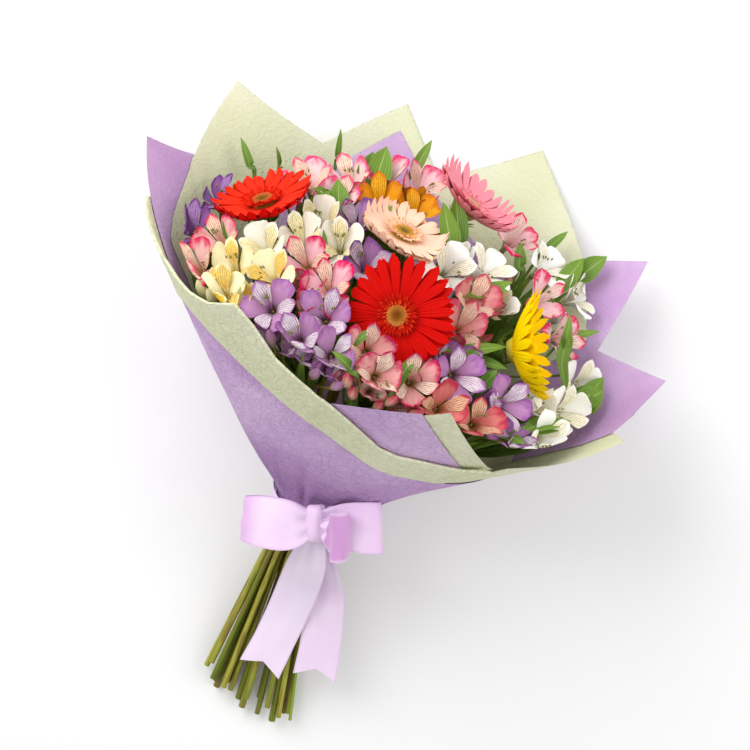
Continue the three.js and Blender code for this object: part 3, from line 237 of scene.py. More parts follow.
class Skin:
    """Gathers the sheets and tubes of one piece. Each point carries two vectors for its material:
    "petal" is (across, along, random), "kind" is whatever the piece needs."""

    def __init__(self):
        self.points, self.faces, self.petal, self.kind, self.size = [], [], [], [], 0

    def add(self, points, faces, petal, kind):
        faces = np.where(faces < 0, -1, faces + self.size)
        self.faces.extend(tuple(face[face >= 0].tolist()) for face in faces)
        self.points.append(points)
        self.petal.append(petal)
        self.kind.append(np.broadcast_to(kind, points.shape).astype(float))
        self.size += len(points)

    def sheet(self, middle, thickness, across, along, random=0.0, kind=(0, 0, 0)):
        """A thin body on both sides of a grid of points, closed along its border. It sets the third
        number of kind: 0 on the first side and on the border, 1 on the second side."""
        rows, columns = middle.shape[:2]
        normal = np.cross(np.gradient(middle, axis=1), np.gradient(middle, axis=0))
        normal /= np.linalg.norm(normal, axis=-1, keepdims=True) + 1e-12
        inner = np.zeros((rows, columns), bool)
        inner[1:-1, 1:-1] = True
        lift = np.where(inner[..., None], normal * thickness / 2, 0)
        top = np.arange(rows * columns).reshape(rows, columns)
        under = top.copy()
        under[inner] = rows * columns + np.arange(inner.sum())
        quads = [np.stack([g[:-1, :-1], g[:-1, 1:], g[1:, 1:], g[1:, :-1]], -1).reshape(-1, 4)
                 for g in (top, under)]
        grid = np.stack(np.broadcast_arrays(across, along, np.full((rows, columns), random)), -1)
        points = np.vstack([(middle + lift).reshape(-1, 3), (middle - lift)[inner]])
        kinds = np.broadcast_to(kind, points.shape).astype(float)
        kinds[:, 2] = np.arange(len(points)) >= rows * columns
        petal = np.vstack([grid.reshape(-1, 3), grid[inner]])
        self.add(points, np.vstack([quads[0][:, ::-1], quads[1]]), petal, kinds)

    def tube(self, path, radius, sides=8, random=0.0, kind=(0, 0, 0)):
        """A round body along a path, closed with a small cap at both ends."""
        path = np.asarray(path, float)
        count = len(path)
        along = unit(np.gradient(path, axis=0))
        first = unit((1.0, 0, 0) - along[:, :1] * along)
        angle = np.linspace(0, 2 * math.pi, sides, endpoint=False)
        second = np.cross(along, first)
        out = np.cos(angle)[:, None] * first[:, None] + np.sin(angle)[:, None] * second[:, None]
        rings = path[:, None] + np.broadcast_to(radius, count)[:, None, None] * out
        at = np.arange(count * sides).reshape(count, sides)
        after = np.roll(at, -1, 1)
        quads = np.stack([at[:-1], after[:-1], after[1:], at[1:]], -1).reshape(-1, 4)
        none = np.full(sides, -1)
        caps = [np.stack([after[0], at[0], none + count * sides + 1, none], -1),
                np.stack([at[-1], after[-1], none + count * sides + 2, none], -1)]
        share = np.linspace(0, 1, count)[:, None]
        grid = np.stack(np.broadcast_arrays(angle / (2 * math.pi), share, random), -1)
        points = np.vstack([rings.reshape(-1, 3), path[:1], path[-1:]])
        petal = np.vstack([grid.reshape(-1, 3), [[0, 0, random], [0, 1, random]]])
        self.add(points, np.vstack([quads, *caps]), petal, kind)

    def make(self, name, material, slot, node):
        """The object, standing for its CAD node."""
        name = name.replace("_", "-").replace(" ", "-")
        mesh = bpy.data.meshes.new(name)
        mesh.from_pydata((np.vstack(self.points) / 1000).tolist(), [], self.faces)
        for label, values in (("petal", self.petal), ("kind", self.kind)):
            attribute = mesh.attributes.new(label, "FLOAT_VECTOR", "POINT")
            attribute.data.foreach_set("vector", np.vstack(values).ravel())
        mesh.materials.append(material)
        mesh.polygons.foreach_set("use_smooth", [True] * len(self.faces))
        mesh.update()
        mesh.set_sharp_from_angle(angle=math.radians(60))
        obj = bpy.data.objects.new(name, mesh)
        bpy.context.collection.objects.link(obj)
        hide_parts(node)
        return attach(obj, "root")


class Value:
    """A shader socket that can be used in sums, differences and products."""

    def __init__(self, paint, socket):
        self.paint, self.socket = paint, socket

    def __add__(self, other):
        return self.paint.math("ADD", self, other)

    def __sub__(self, other):
        return self.paint.math("SUBTRACT", self, other)

    def __rsub__(self, other):
        return self.paint.math("SUBTRACT", other, self)

    def __mul__(self, other):
        return self.paint.math("MULTIPLY", self, other)

    __radd__, __rmul__ = __add__, __mul__


def rgb(code):
    """A colour from its display hex code, as scene-linear red, green and blue."""
    parts = [((code >> shift) & 255) / 255 for shift in (16, 8, 0)]
    return tuple(p / 12.92 if p <= 0.04045 else ((p + 0.055) / 1.055) ** 2.4 for p in parts)


class Paint:
    """One procedural material. Colours are display hex codes or sockets."""

    def __init__(self, name, **settings):
        self.material = bpy.data.materials.new(name)
        self.material.use_nodes = True
        self.tree = self.material.node_tree
        self.shader = self.tree.nodes["Principled BSDF"]
        self.set(self.shader, {key.replace("_", " "): value for key, value in settings.items()})

    def set(self, node, values):
        for key, value in values.items():
            if isinstance(value, Value):
                self.tree.links.new(value.socket, node.inputs[key])
            else:
                node.inputs[key].default_value = value

    def add(self, kind, settings=None, values=None, out=0):
        node = self.tree.nodes.new(kind)
        for key, value in (settings or {}).items():
            setattr(node, key, value)
        self.set(node, values or {})
        return Value(self, node.outputs[out])

    def math(self, operation, *inputs):
        return self.add("ShaderNodeMath", {"operation": operation}, dict(enumerate(inputs)))

    def ramp(self, value, low, high):
        """0 at low, 1 at high, smooth between. low may be the larger one."""
        return self.add("ShaderNodeMapRange", {"interpolation_type": "SMOOTHSTEP"},
                        {"Value": value, "From Min": low, "From Max": high})

    def mix(self, share, first, second):
        ends = [end if isinstance(end, Value) else (*rgb(end), 1) for end in (first, second)]
        return self.add("ShaderNodeMix", {"data_type": "RGBA"}, {0: share, 6: ends[0], 7: ends[1]}, out=2)

    def coats(self, body, *coats):
        """The body's colour with each (share, colour) laid over it in turn."""
        for share, colour in coats:
            body = self.mix(share, body, colour)
        return body

    def parts(self, label):
        """The three numbers of one of the mesh's own vectors."""
        vector = self.add("ShaderNodeAttribute", {"attribute_name": label}, out=1)
        return [self.add("ShaderNodeSeparateXYZ", None, {0: vector}, out=axis) for axis in range(3)]

    def noise(self, scale, detail=2.0, vector=None, out=0):
        vector = vector or self.add("ShaderNodeTexCoord", out=3)
        values = {"Scale": scale, "Detail": detail, "Vector": vector}
        return self.add("ShaderNodeTexNoise", None, values, out)

    def vector(self, x, y, z=0.0):
        return self.add("ShaderNodeCombineXYZ", None, {0: x, 1: y, 2: z})

    def finish(self, colour, height, strength=0.3, distance=0.0005, **values):
        relief = {"Strength": strength, "Distance": distance, "Height": height}
        bump = self.add("ShaderNodeBump", None, relief)
        self.set(self.shader, {"Base Color": colour, "Normal": bump, **values})
        return self.material


GERBERA_COLOURS = {  # ray, ray's base, underside, inner ring, disc rim, disc centre
    "red_front": (0xD60303, 0x940202, 0xC81008, 0xF05A28, 0xFFC060, 0xB87420),
    "red_left": (0xE00604, 0xA00202, 0xE8381C, 0xE83010, 0xE88848, 0x8C7028),
    "yellow": (0xFFE000, 0xFFC400, 0xFFC000, 0xFFD800, 0xF8D840, 0xC4B440),
    "pink": (0xF894A4, 0xE04C6C, 0xF49AA8, 0xF8A8B0, 0xF8D0A0, 0xC0B060),
    "peach": (0xFFCDB0, 0xF6C868, 0xFAD6BE, 0xFABE78, 0xE8B050, 0x96803A),
}


def gerbera_paint(name):
    """Velvety rays with fine lengthwise ribs. kind is (ring of the ray, 1 on the disc, side)."""
    ray, base, below, inner, rim, centre = GERBERA_COLOURS[name]
    paint = Paint(f"{name} petals", Roughness=0.75, Specular_IOR_Level=0.06)
    across, along, chance = paint.parts("petal")
    ring, disc, side = paint.parts("kind")
    stripe = paint.math("SINE", across * 18.0 + chance * 9.0)
    fibre = paint.noise(9.0, 3.0, paint.vector(across * 5.0, along * 0.8, chance * 7.0))
    body = paint.coats(
        ray,
        (paint.ramp(along, 0.5, 0.0), base),
        (paint.ramp(fibre, 0.45, 0.75) * 0.28, base),
        (paint.ramp(stripe, 0.5, 1.0) * 0.18, base),
        (paint.ramp(ring, 1.4, 3.0) * paint.ramp(along, 0.1, 0.8), inner),
        (paint.ramp(side, 0.3, 0.7) * 0.75, below),
        (disc, paint.mix(paint.ramp(along, 0.15, 0.9), centre, rim)),
    )
    return paint.finish(body, stripe * 0.5 + fibre, 0.35, 0.0006)


def gerbera_ray(skin, bloom, angle, profile, widths, seed, ring):
    """One ray petal: narrow base, parallel sides, a blunt tip with small teeth."""
    rows, columns = 13, 9
    spine = flow(profile, rows)
    width = taper(widths, rows)
    u = np.linspace(-1, 1, columns)[None, :]
    v = np.linspace(0, 1, rows)[:, None]
    length = 1 + 0.06 * draw(seed, 11)
    teeth = 0.9 * np.cos(3 * math.pi * u) * np.clip((v - 0.9) / 0.1, 0, 1)
    round_tip = -3.4 * u * u * np.clip((v - 0.78) / 0.22, 0, 1)
    reach = spine[:, :1] * length + teeth + round_tip
    aside = u * width + 0.8 * draw(seed, 12) * v * v * 2
    crease = 0.35 * np.cos(3 * math.pi * u) * np.sin(math.pi * np.clip(v, 0.05, 0.95))
    cup = (0.5 + 0.9 * draw(seed, 13)) * u * u * v + 1.6 * draw(seed, 14) * v * v
    bowl = bloom.cup * (reach / 47) ** 2
    middle = bloom.petal(angle, reach, spine[:, 1:] + bowl + crease + cup, aside)
    skin.sheet(middle, 0.55, (u + 1) / 2, v, abs(draw(seed, 15)), (ring, 0, 0))


RAYS = [  # count, turn of the ring, (reach, rise) along the petal, half-widths
    (25, 0.0, [(7, -5), (11, -2.6), (22, -1.4), (33, -0.9), (42, -1.2), (47.5, -1.8)],
     [1.3, 1.9, 3.1, 4.1, 3.9, 1.9]),
    (24, 0.5, [(6, -1.5), (11, 0.6), (21, 2.6), (32, 3.6), (41, 3.6), (46, 3.0)],
     [1.3, 1.9, 3.1, 4.0, 3.8, 1.9]),
    (30, 0.25, [(5, 1.4), (8, 3.2), (11.5, 4.8), (14.5, 5.8), (17.5, 6.6)], [0.7, 1.0, 1.3, 1.2, 0.5]),
    (24, 0.75, [(4.6, 2.4), (7, 4.2), (9.5, 5.4), (12, 6.4)], [0.6, 0.9, 1.0, 0.4]),
]
DISC_FLORETS = 190
DISC_RADIUS = 8.2
GOLDEN_TURN = 2.39996
STALK = (0, 1, 0)
DISC_CORE = [(1.0, -8), (8, -7.2), (10.5, -3), (10.2, 1.5), (8.6, 3.0), (5, 3.4), (0.3, 3.5)]


def gerbera_disc(skin, bloom):
    """Tiny tubular florets in a spiral on a solid core."""
    for k in range(DISC_FLORETS):
        share = math.sqrt((k + 0.5) / DISC_FLORETS)
        angle, reach = GOLDEN_TURN * k, DISC_RADIUS * share
        rise = 3.4 + 1.9 * share - 1.3 * share**4
        foot = bloom.petal(angle, reach, rise, 0.0)
        tip = bloom.petal(angle, reach * 1.06, rise + 1.5 + 0.9 * share, 0.0)
        skin.tube([foot, 0.5 * (foot + tip), tip], [0.45, 0.52, 0.2], 5, share, STALK)
        skin.petal[-1][:, 1] = share
    core = [[bloom.petal(a, r, h, 0.0) for a in np.linspace(0, 2 * math.pi, 21)] for r, h in DISC_CORE]
    skin.sheet(np.array(core), 0.01, 0.5, 0.1, 0.5, STALK)


for bloom in blooms[:len(GERBERAS)]:
    skin = Skin()
    for ring, (count, shift, profile, widths) in enumerate(RAYS):
        for k in range(count):
            seed = bloom.index * 211 + ring * 37 + k
            angle = 2 * math.pi * (k + shift + 0.12 * draw(seed, 10)) / count
            gerbera_ray(skin, bloom, angle, profile, widths, seed, ring)
    gerbera_disc(skin, bloom)
    skin.make(f"{bloom.owner} gerbera", gerbera_paint(bloom.owner), f"{bloom.owner.split('_')[0]}_gerbera",
              f"gerbera_{bloom.owner}_bloom")


# Alstroemerias: each cut stem carries an umbel of florets on short stalks, some with buds. A floret
# has three broad outer tepals, three narrow inner ones with dark streaks, and curved stamens.
ALSTROEMERIA_COLOURS = {  # tepal, tip, blotch on the inner ones, streaks, throat
    "plum_left": (0x965E98, 0x6C3C7C, 0xB490C4, 0x2E1840, 0x6A5A58),
    "rose_left": (0xF6D8D0, 0xE0325E, 0xF8ECC8, 0x6A1C2C, 0xC8B878),
    "yellow_left": (0xF8F2CC, 0xF6F0C0, 0xFFC800, 0x5C2C08, 0xD8B838),
    "cream": (0xFAF6E8, 0xFAF5E6, 0xF6E8A0, 0x6E5A30, 0xC4C078),
    "magenta": (0xF8D4DC, 0xD8105C, 0xF8ECC8, 0x4C1420, 0xCDBC74),
    "violet_front": (0xC898C0, 0xA468A4, 0xF6ECF0, 0x30143C, 0x8A7A68),
    "violet_mid": (0xB688B4, 0x864E90, 0xE6D4DC, 0x30143C, 0x8A7060),
    "rose_top": (0xFCEEE8, 0xE84C7C, 0xFAF0CC, 0x6C2A2C, 0xC8C080),
    "rose_back": (0xFCE6E8, 0xE23C70, 0xF8EED0, 0x6C2A2C, 0xC8C080),
    "ochre_back": (0xE8A010, 0xCC7404, 0xF4B820, 0x5A2A04, 0x8A5A10),
    "white_mid": (0xFCFAF4, 0xFCFAF6, 0xF8F0D0, 0x7A5A38, 0xC4C488),
    "white_right": (0xFCFAF6, 0xFEFCF8, 0xF8F2D8, 0x8A6A40, 0xC8C890),
    "coral_right": (0xFCE4E6, 0xE02C60, 0xFAF0E0, 0x7A1C2C, 0xD8C088),
    "salmon_mid": (0xF0B0AC, 0xCC4464, 0xF8E2C4, 0x5A1620, 0xB0A050),
    "salmon_front": (0xF2BCB4, 0xC8285A, 0xFAF0D4, 0x50101E, 0x9AA050),
    "salmon_low": (0xE88C84, 0xBC3048, 0xF4D0A8, 0x581418, 0x98A04C),
    "violet_right": (0xCC98C4, 0xA264A8, 0xF8EEF0, 0x280E34, 0x8A7A60),
    "white_low": (0xFCFAF0, 0xFCFAF2, 0xF8F0C8, 0x7A6030, 0xC8C888),
}


def alstroemeria_paint(name):
    """Tepals with soft veins, dark broken streaks on the inner ones, and green stalks. kind is
    (1 on inner tepals, 1 on stalks, side)."""
    tepal, tip, blotch, streaks, throat = ALSTROEMERIA_COLOURS[name]
    paint = Paint(f"{name} tepals", Roughness=0.6, Specular_IOR_Level=0.15)
    across, along, chance = paint.parts("petal")
    inner, stalk, side = paint.parts("kind")
    off = paint.math("ABSOLUTE", across * 2.0 - 1.0)
    cloud = paint.noise(3.2, 3.0, paint.vector(across * 1.6, along * 1.4, chance * 9.0))
    vein = paint.math("SINE", (across - 0.5) * 62.0 + (cloud - 0.5) * 3.0)
    centre = inner * paint.ramp(along, 0.3, 0.42) * paint.ramp(along + off * 0.25, 1.04, 0.84)
    lines = paint.math("SINE", (across - 0.5) * (along * 10.0 + 38.0) + (cloud - 0.5) * 5.0)
    broken = paint.noise(5.0, 2.0, paint.vector(across * 7.0, along * 2.6, chance * 5.0))
    streak = centre * paint.ramp(lines, 0.5, 0.85) * paint.ramp(broken, 0.42, 0.5)
    point = paint.ramp(along, 0.9, 1.0) * paint.ramp(off, 0.3, 0.08) * (1.0 - inner)
    body = paint.coats(
        tepal,
        (paint.ramp(along + off * 0.22 + (cloud - 0.5) * 0.5, 0.66, 0.98), tip),
        (paint.ramp(cloud, 0.5, 0.8) * 0.22, tip),
        (paint.ramp(vein, 0.3, 1.0) * 0.16, tip),
        (centre * 0.9, blotch),
        (streak * 0.9, streaks),
        (paint.ramp(along, 0.42, 0.16), throat),
        (point * 0.7, 0xA8B86C),
        (paint.ramp(side, 0.3, 0.7) * 0.22, tip),
        (stalk, paint.mix(paint.ramp(along, 0.2, 1.0), 0x5E7C2A, 0x9C8A4C)),
    )
    return paint.finish(body, vein * 0.5 + cloud)


# Profiles of the tepals as (reach, rise) from the foot to the tip, and their half-widths.
BROAD = [(1.3, -20.5), (2.6, -15.5), (4.4, -9.8), (8.5, -5.0), (13.5, -0.8), (19, 2.2), (24, 2.9),
         (27.3, 1.6)]
BROAD_WIDTH = [1.0, 1.8, 2.5, 5.6, 8.8, 10.4, 8.2, 0.8]
NARROW = [(1.2, -20.5), (2.4, -15.5), (4.0, -9.8), (7.6, -3.2), (12, 2.0), (16.5, 5.0), (21, 7.2),
          (24.3, 8.2)]
NARROW_WIDTH = [0.8, 1.4, 2.0, 3.9, 5.7, 6.3, 4.8, 0.6]


def tepal(skin, bloom, k, seed):
    """Even ones are broad outer tepals, odd ones narrow inner ones with streaks."""
    rows, columns = 15, 9
    broad = k % 2 == 0
    spine = flow(BROAD if broad else NARROW, rows)
    width = taper(BROAD_WIDTH if broad else NARROW_WIDTH, rows)
    u = np.linspace(-1, 1, columns)[None, :]
    v = np.linspace(0, 1, rows)[:, None]
    width = width * (1 + 0.12 * draw(seed, 21))
    reach, rise = spine[:, :1] * (1 + 0.07 * draw(seed, 22)), spine[:, 1:]
    opening = 0.10 + 0.16 * draw(seed, 23) + 0.12 * draw(bloom.index, 28) + bloom.closed
    rise = rise + opening * np.maximum(reach - 5, 0) * 0.9
    reach = reach * (1 - 0.35 * max(opening, 0))
    cup = (0.20 if broad else 0.34) * width * u * u * np.clip(1.5 - 1.6 * v, -0.25, 1)
    ruffle = (1.5 if broad else 0.8) * np.sin(8 * u + 5 * draw(seed, 24) + 10 * v) * u * u * v * v
    point = (1.8 if broad else 1.2) * np.exp(-((u / 0.3) ** 2)) * np.clip((v - 0.84) / 0.16, 0, 1)
    keel = -0.5 * np.exp(-((u / 0.16) ** 2)) * np.clip(v * 3, 0, 1) * (1 - v)
    twist = 1.6 * draw(seed, 25) * u * v * v * width / 6
    sway = 1.3 * draw(seed, 26) * v * v
    angle = math.pi / 3 * k + 0.09 * draw(seed, 27)
    middle = bloom.petal(angle, reach + point, rise + cup + ruffle + keel + twist, u * width + sway)
    skin.sheet(middle, 0.5, (u + 1) / 2, v, abs(draw(seed, 29)), (0 if broad else 1, 0, 0))


def stamens(skin, bloom):
    """Five thin filaments that bend one way, each with a dull anther."""
    share = np.linspace(0, 1, 5)
    for j in range(5):
        seed = bloom.index * 17 + j
        out = np.array([1.0, 2.0, 3.6, 5.4, 7.4]) + 0.7 * j * share
        rise = np.array([-17, -11, -5, 0.5, 3.6]) + 1.6 * draw(seed, 32) * share
        path = bloom.petal(math.pi + 0.9 * draw(seed, 31), out, rise, draw(seed, 33) * share)
        skin.tube(path, [0.3, 0.3, 0.28, 0.26, 0.24], 5, 0.5)
        skin.petal[-1][:, 1] = 0.6
        along = unit(path[-1] - path[-2])
        anther = [path[-1] + offset * along for offset in (-1.4, -0.6, 0.6, 1.4)]
        skin.tube(anther, [0.3, 0.75, 0.75, 0.3], 6, 0.5, STALK)


UMBEL_DEPTH = 62


def umbel_of(florets):
    """The point under the florets from which their stalks spring, in the bouquet's frame."""
    x, y = np.mean([floret.at for floret in florets], axis=0)
    z = dome(x, y) - UMBEL_DEPTH
    fan = (z + APEX) / (z + UMBEL_DEPTH + APEX)
    return np.array([SHIFT + (x - SHIFT) * fan, y * fan, z])


def below_dome(x, y, depth):
    """A point so far below the dome, kept inside the paper."""
    return inside_funnel(place((x, y, dome(x, y) - depth)))


def bud(skin, umbel, x, y, seed, depth=30):
    """A closed bud on its stalk: pointed, with three blunt ribs, green below and coloured above."""
    base = below_dome(x, y, depth)
    along = unit(base - umbel + 30 * turn_down((0, 0, 1)))
    skin.tube(flow([umbel, 0.5 * (umbel + base) - 3 * along, base], 8), 1.25, 7, 0.5, STALK)
    helper = unit(np.cross(along, (1, 0, 0)))
    other = np.cross(along, helper)
    rows, columns = 13, 19
    height = np.linspace(-0.5, 20, rows)[:, None, None]
    angle = np.linspace(0, 2 * math.pi, columns)
    radius = taper([1.2, 2.6, 3.9, 4.3, 3.9, 2.6, 0.5], rows) * (1 + 0.09 * np.cos(3 * angle + seed))[None, :]
    out = np.cos(angle)[None, :, None] * helper + np.sin(angle)[None, :, None] * other
    middle = base + height * along + radius[..., None] * out
    skin.sheet(middle, 0.02, np.linspace(0, 1, columns)[None, :], np.linspace(0.62, 0.95, rows)[:, None], 0.5)
    skin.kind[-1][:, 1] = 0.05 + 2.2 * (0.95 - skin.petal[-1][:, 1])


def floret_on_stalk(skin, floret, umbel):
    """Six tepals and the stamens on a swollen base, and the stalk down to the umbel."""
    for k in range(6):
        tepal(skin, floret, k, floret.index * 13 + k)
    stamens(skin, floret)
    base = floret.petal(0.0, 0.0, -20.0, 0.0)
    bend = base - 12 * floret.normal
    stalk = flow([umbel, 0.45 * umbel + 0.55 * bend, base], 9)
    skin.tube(stalk, np.linspace(1.2, 1.5, 9), 7, 0.5, STALK)
    swell = [base + height * floret.size * floret.normal for height in (-1.5, 0.5, 3, 5.5)]
    skin.tube(swell, floret.size * np.array([1.4, 2.5, 2.4, 1.2]), 9, 0.5, STALK)


SPOT_STEP = 5.0
SPOT_SPACING = 11
SMALLEST_GAP = 2.5


def open_spots():
    """Places on the dome between the blooms, the widest gap first."""
    x, y = np.meshgrid(np.arange(-206, 176, SPOT_STEP), np.arange(-130, 132, SPOT_STEP))
    spots = np.stack([x.ravel(), y.ravel()], -1)
    low = place(np.stack([*spots.T, dome(*spots.T) - 8], -1))
    spots = spots[np.linalg.norm(inside_funnel(low) - low, axis=1) < 1.5]
    gaps = [np.hypot(*(spots - bloom.at).T) - (0.9 if bloom.facing else 0.62) * bloom.room
            for bloom in blooms]
    nearest = np.sort(gaps, axis=0)
    between = nearest[2] < np.where(spots[:, 1] > 30, 32, 21)
    spots, free = spots[between], nearest[0, between]
    found = []
    while free.max() > SMALLEST_GAP:
        spot = spots[free.argmax()]
        found.append(spot)
        free = np.minimum(free, np.hypot(*(spots - spot).T) - SPOT_SPACING)
    return found


# Between the open florets each umbel has smaller half-open ones, buds and leaves. More of them stand
# low behind the front edge of the paper.
LOW_FLORETS = [
    ("violet_front", -90, 90), ("violet_front", -74, 100), ("violet_front", -54, 104),
    ("violet_front", -36, 104), ("salmon_front", -18, 108), ("salmon_front", 2, 106),
    ("salmon_front", 22, 102), ("violet_front", -64, 92), ("violet_front", -26, 94),
]
LOW_BUDS = [
    ("violet_front", -82, 96), ("violet_front", -46, 110), ("salmon_front", -8, 112),
    ("salmon_front", 12, 110), ("salmon_front", 32, 104), ("violet_front", -28, 112),
]
BUD_DEPTHS = {"bud": 25, "low bud": 42}
FLORET_DEPTHS = {"floret": 7, "low floret": 27}
KINDS = ("floret", "leaf", "bud", "leaf", "floret", "leaf", "bud")
florets_of = {name: [bloom for bloom in blooms if bloom.owner == name] for name in ALSTROEMERIAS}
middles = {name: np.mean([bloom.at for bloom in florets], axis=0) for name, florets in florets_of.items()}
extras = {name: [] for name in ALSTROEMERIAS}
for index, spot in enumerate(open_spots()):
    owner = min(middles, key=lambda name: np.hypot(*(middles[name] - spot)))
    extras[owner].append((KINDS[index % len(KINDS)], *spot, index))
for index, (owner, x, y) in enumerate(LOW_FLORETS):
    extras[owner].append(("low floret", x, y, index + 300))
for index, (owner, x, y) in enumerate(LOW_BUDS):
    extras[owner].append(("low bud", x, y, index + 320))

umbels = {name: umbel_of(florets) for name, florets in florets_of.items()}
for name, (_, buds, _) in ALSTROEMERIAS.items():
    umbel = place(umbels[name])
    skin = Skin()
    for floret in florets_of[name]:
        floret_on_stalk(skin, floret, umbel)
    for index, (x, y) in enumerate(buds):
        bud(skin, umbel, x, y, index + len(florets_of[name]))
    for kind, x, y, index in extras[name]:
        if kind in BUD_DEPTHS:
            bud(skin, umbel, x, y, index, BUD_DEPTHS[kind])
        elif kind in FLORET_DEPTHS:
            small = Bloom(name, x, y, 11, size=0.74, closed=0.45, sink=FLORET_DEPTHS[kind])
            small.settle(index + 100)
            floret_on_stalk(skin, small, umbel)
    up = turn_down((0, 0, 1))
    skin.tube([umbel + offset * up for offset in (-4, -2, 1.5, 4)], [2.0, 3.0, 3.1, 1.4], 9, 0.5, STALK)
    skin.make(f"{name} alstroemeria blooms", alstroemeria_paint(name), f"{name.split('_')[0]}_alstroemeria",
              f"alstroemeria_{name}_blooms")


# Stems and leaves: the stems fan from the blooms to the tie, are packed there as a round bundle and
# spread again down to their cuts. Narrow leaves rise between the florets.
def leaf_paint():
    """Green blades with pale veins, and olive stems with brown and dark patches and pale cuts. The
    first number of kind is 1 on the stems."""
    paint = Paint("stems and leaves", Roughness=0.42, Specular_IOR_Level=0.35, Subsurface_Weight=0.05,
                  Subsurface_Radius=(0.002, 0.004, 0.001), Subsurface_Scale=0.4)
    across, along, chance = paint.parts("petal")
    stem = paint.parts("kind")[0]
    vein = paint.math("SINE", (across - 0.5) * 50.0)
    middle = paint.ramp(paint.math("ABSOLUTE", across - 0.5), 0.07, 0.015)
    cloud = paint.noise(60.0, 3.0)
    blade = paint.coats(
        0x456816,
        (paint.ramp(along + (cloud - 0.5) * 0.3, 0.2, 1.0), 0x6A9026),
        (chance, 0x7E9C30),
        (paint.ramp(vein, 0.2, 1.0) * 0.25, 0x8CB45A),
        (middle * 0.5, 0xA4C070),
    )
    patches = paint.noise(14.0, 2.0, paint.vector(chance * 40.0, along * 0.9, across * 0.3))
    bark = paint.coats(
        0x6E7E16,
        (paint.ramp(chance, 0.1, 0.9), 0xB2B23C),
        (paint.ramp(patches, 0.45, 0.62) * 0.75, 0x7E6230),
        (paint.ramp(patches, 0.52, 0.34) * 0.5, 0x4E5C14),
        (paint.ramp(along, 0.985, 1.0), 0xD8D4A0),
    )
    streak = paint.math("SINE", across * 50.0)
    return paint.finish(paint.mix(stem, blade, bark), vein * (1.0 - stem) + streak * stem * 0.4 + cloud * 0.5)


green_paint = leaf_paint()
LEAF_OUT = turn_down((0, 0.35, 0.94))


def leaf(skin, foot, base_x, base_y, tip_x, tip_y, rise, width, seed):
    """A long leaf from the umbel's foot through its base to its tip over the florets."""
    base = below_dome(base_x, base_y, 13)
    tip = below_dome(tip_x, tip_y, -rise)
    bulge = 0.09 * np.linalg.norm(base - tip) * LEAF_OUT
    path = flow([foot, base, inside_funnel(base + 0.38 * (tip - base) + bulge),
                 inside_funnel(base + 0.72 * (tip - base) + 0.8 * bulge), tip], 31)
    blade(skin, path, [1.0, 1.4, 0.7 * width, 0.54 * width, 0.15], seed)


def blade(skin, path, widths, seed):
    """A leaf blade with a sunk midrib and slightly wavy edges."""
    half = taper(widths, len(path))
    along = unit(np.gradient(path, axis=0))
    side = unit(np.cross(LEAF_OUT, along))
    under = np.cross(side, along)
    under = under * np.sign(-(under @ LEAF_OUT))[:, None]
    u = np.linspace(-1, 1, 9)[None, :]
    v = np.linspace(0, 1, len(path))[:, None]
    curl = np.clip(half, 0.4, None) * (0.28 * (1 - u * u) + 0.12 * draw(seed, 42) * u)
    wave = 0.35 * np.sin(14 * v + 6 * draw(seed, 41)) * (u * u) * half / 3
    middle = path[:, None] + (half * u)[..., None] * side[:, None] + (curl + wave)[..., None] * under[:, None]
    skin.sheet(middle, 0.7, (u + 1) / 2, v, abs(draw(seed, 43)) * 0.6)


taken = [(*bloom.at, bloom.room) for bloom in blooms]


def free_room(spot):
    return min(math.hypot(x - spot[0], y - spot[1]) - room for x, y, room in taken)


def gap_leaf(skin, foot, name, seed):
    """A short leaf under the florets that reaches for the widest gap round its plant."""
    turns = np.arange(16) * math.pi / 8
    x, y = max([middles[name] + 36 * np.array([math.cos(a), math.sin(a)]) for a in turns], key=free_room)
    taken.append((x, y, 14))
    short_leaf(skin, foot, x, y, 10, 6.5, seed)


def short_leaf(skin, foot, x, y, depth, half_width, seed):
    tip = below_dome(x, y, depth)
    path = flow([foot, inside_funnel(foot + 0.6 * (tip - foot) - 6 * LEAF_OUT), tip], 21)
    blade(skin, path, [1.0, half_width, 0.15], seed)


def ring_leaves(skin, foot, name, index):
    """Five short leaves round the umbel."""
    for k in range(5):
        angle = 2 * math.pi * (k + 0.35 * draw(index, 47)) / 5
        seed = index * 5 + k
        x, y = middles[name] + (26 + 6 * draw(seed, 48)) * np.array([math.cos(angle), math.sin(angle)])
        short_leaf(skin, foot, x, y, 17 + 4 * draw(seed, 49), 6.5, seed + 400)


BROAD_LEAVES = {  # more leaves over the florets: base, tip, rise of the tip, width
    "cream": [(-84, -30, -104, -58, 14, 12)],
    "rose_back": [(-72, -70, -82, -120, 18, 16)],
    "white_mid": [(22, -40, -10, -84, 20, 12)],
    "salmon_mid": [(33, -6, 66, -34, 16, 9)],
    "violet_right": [(36, 60, 84, 30, 15, 8), (118, 62, 160, 26, 14, 10)],
    "coral_right": [(140, -10, 122, -50, 24, 8)],
    "white_low": [(160, 0, 194, -52, 16, 13)],
}


GERBERA_STEM, ALSTROEMERIA_STEM, FILLER_STEM = 3.3, 2.6, 1.5
STEM_GAP = 0.7
PAPER_GAP = 12.55
BUNDLE_TOP, BUNDLE_FOOT = 14, -12
BUNDLE_RADIUS = 19.4
TABLE_DEPTH = 62.1
SUNK = 3.0  # how far the last knots may sink, since every stem is cut before them
ROUNDS = 80


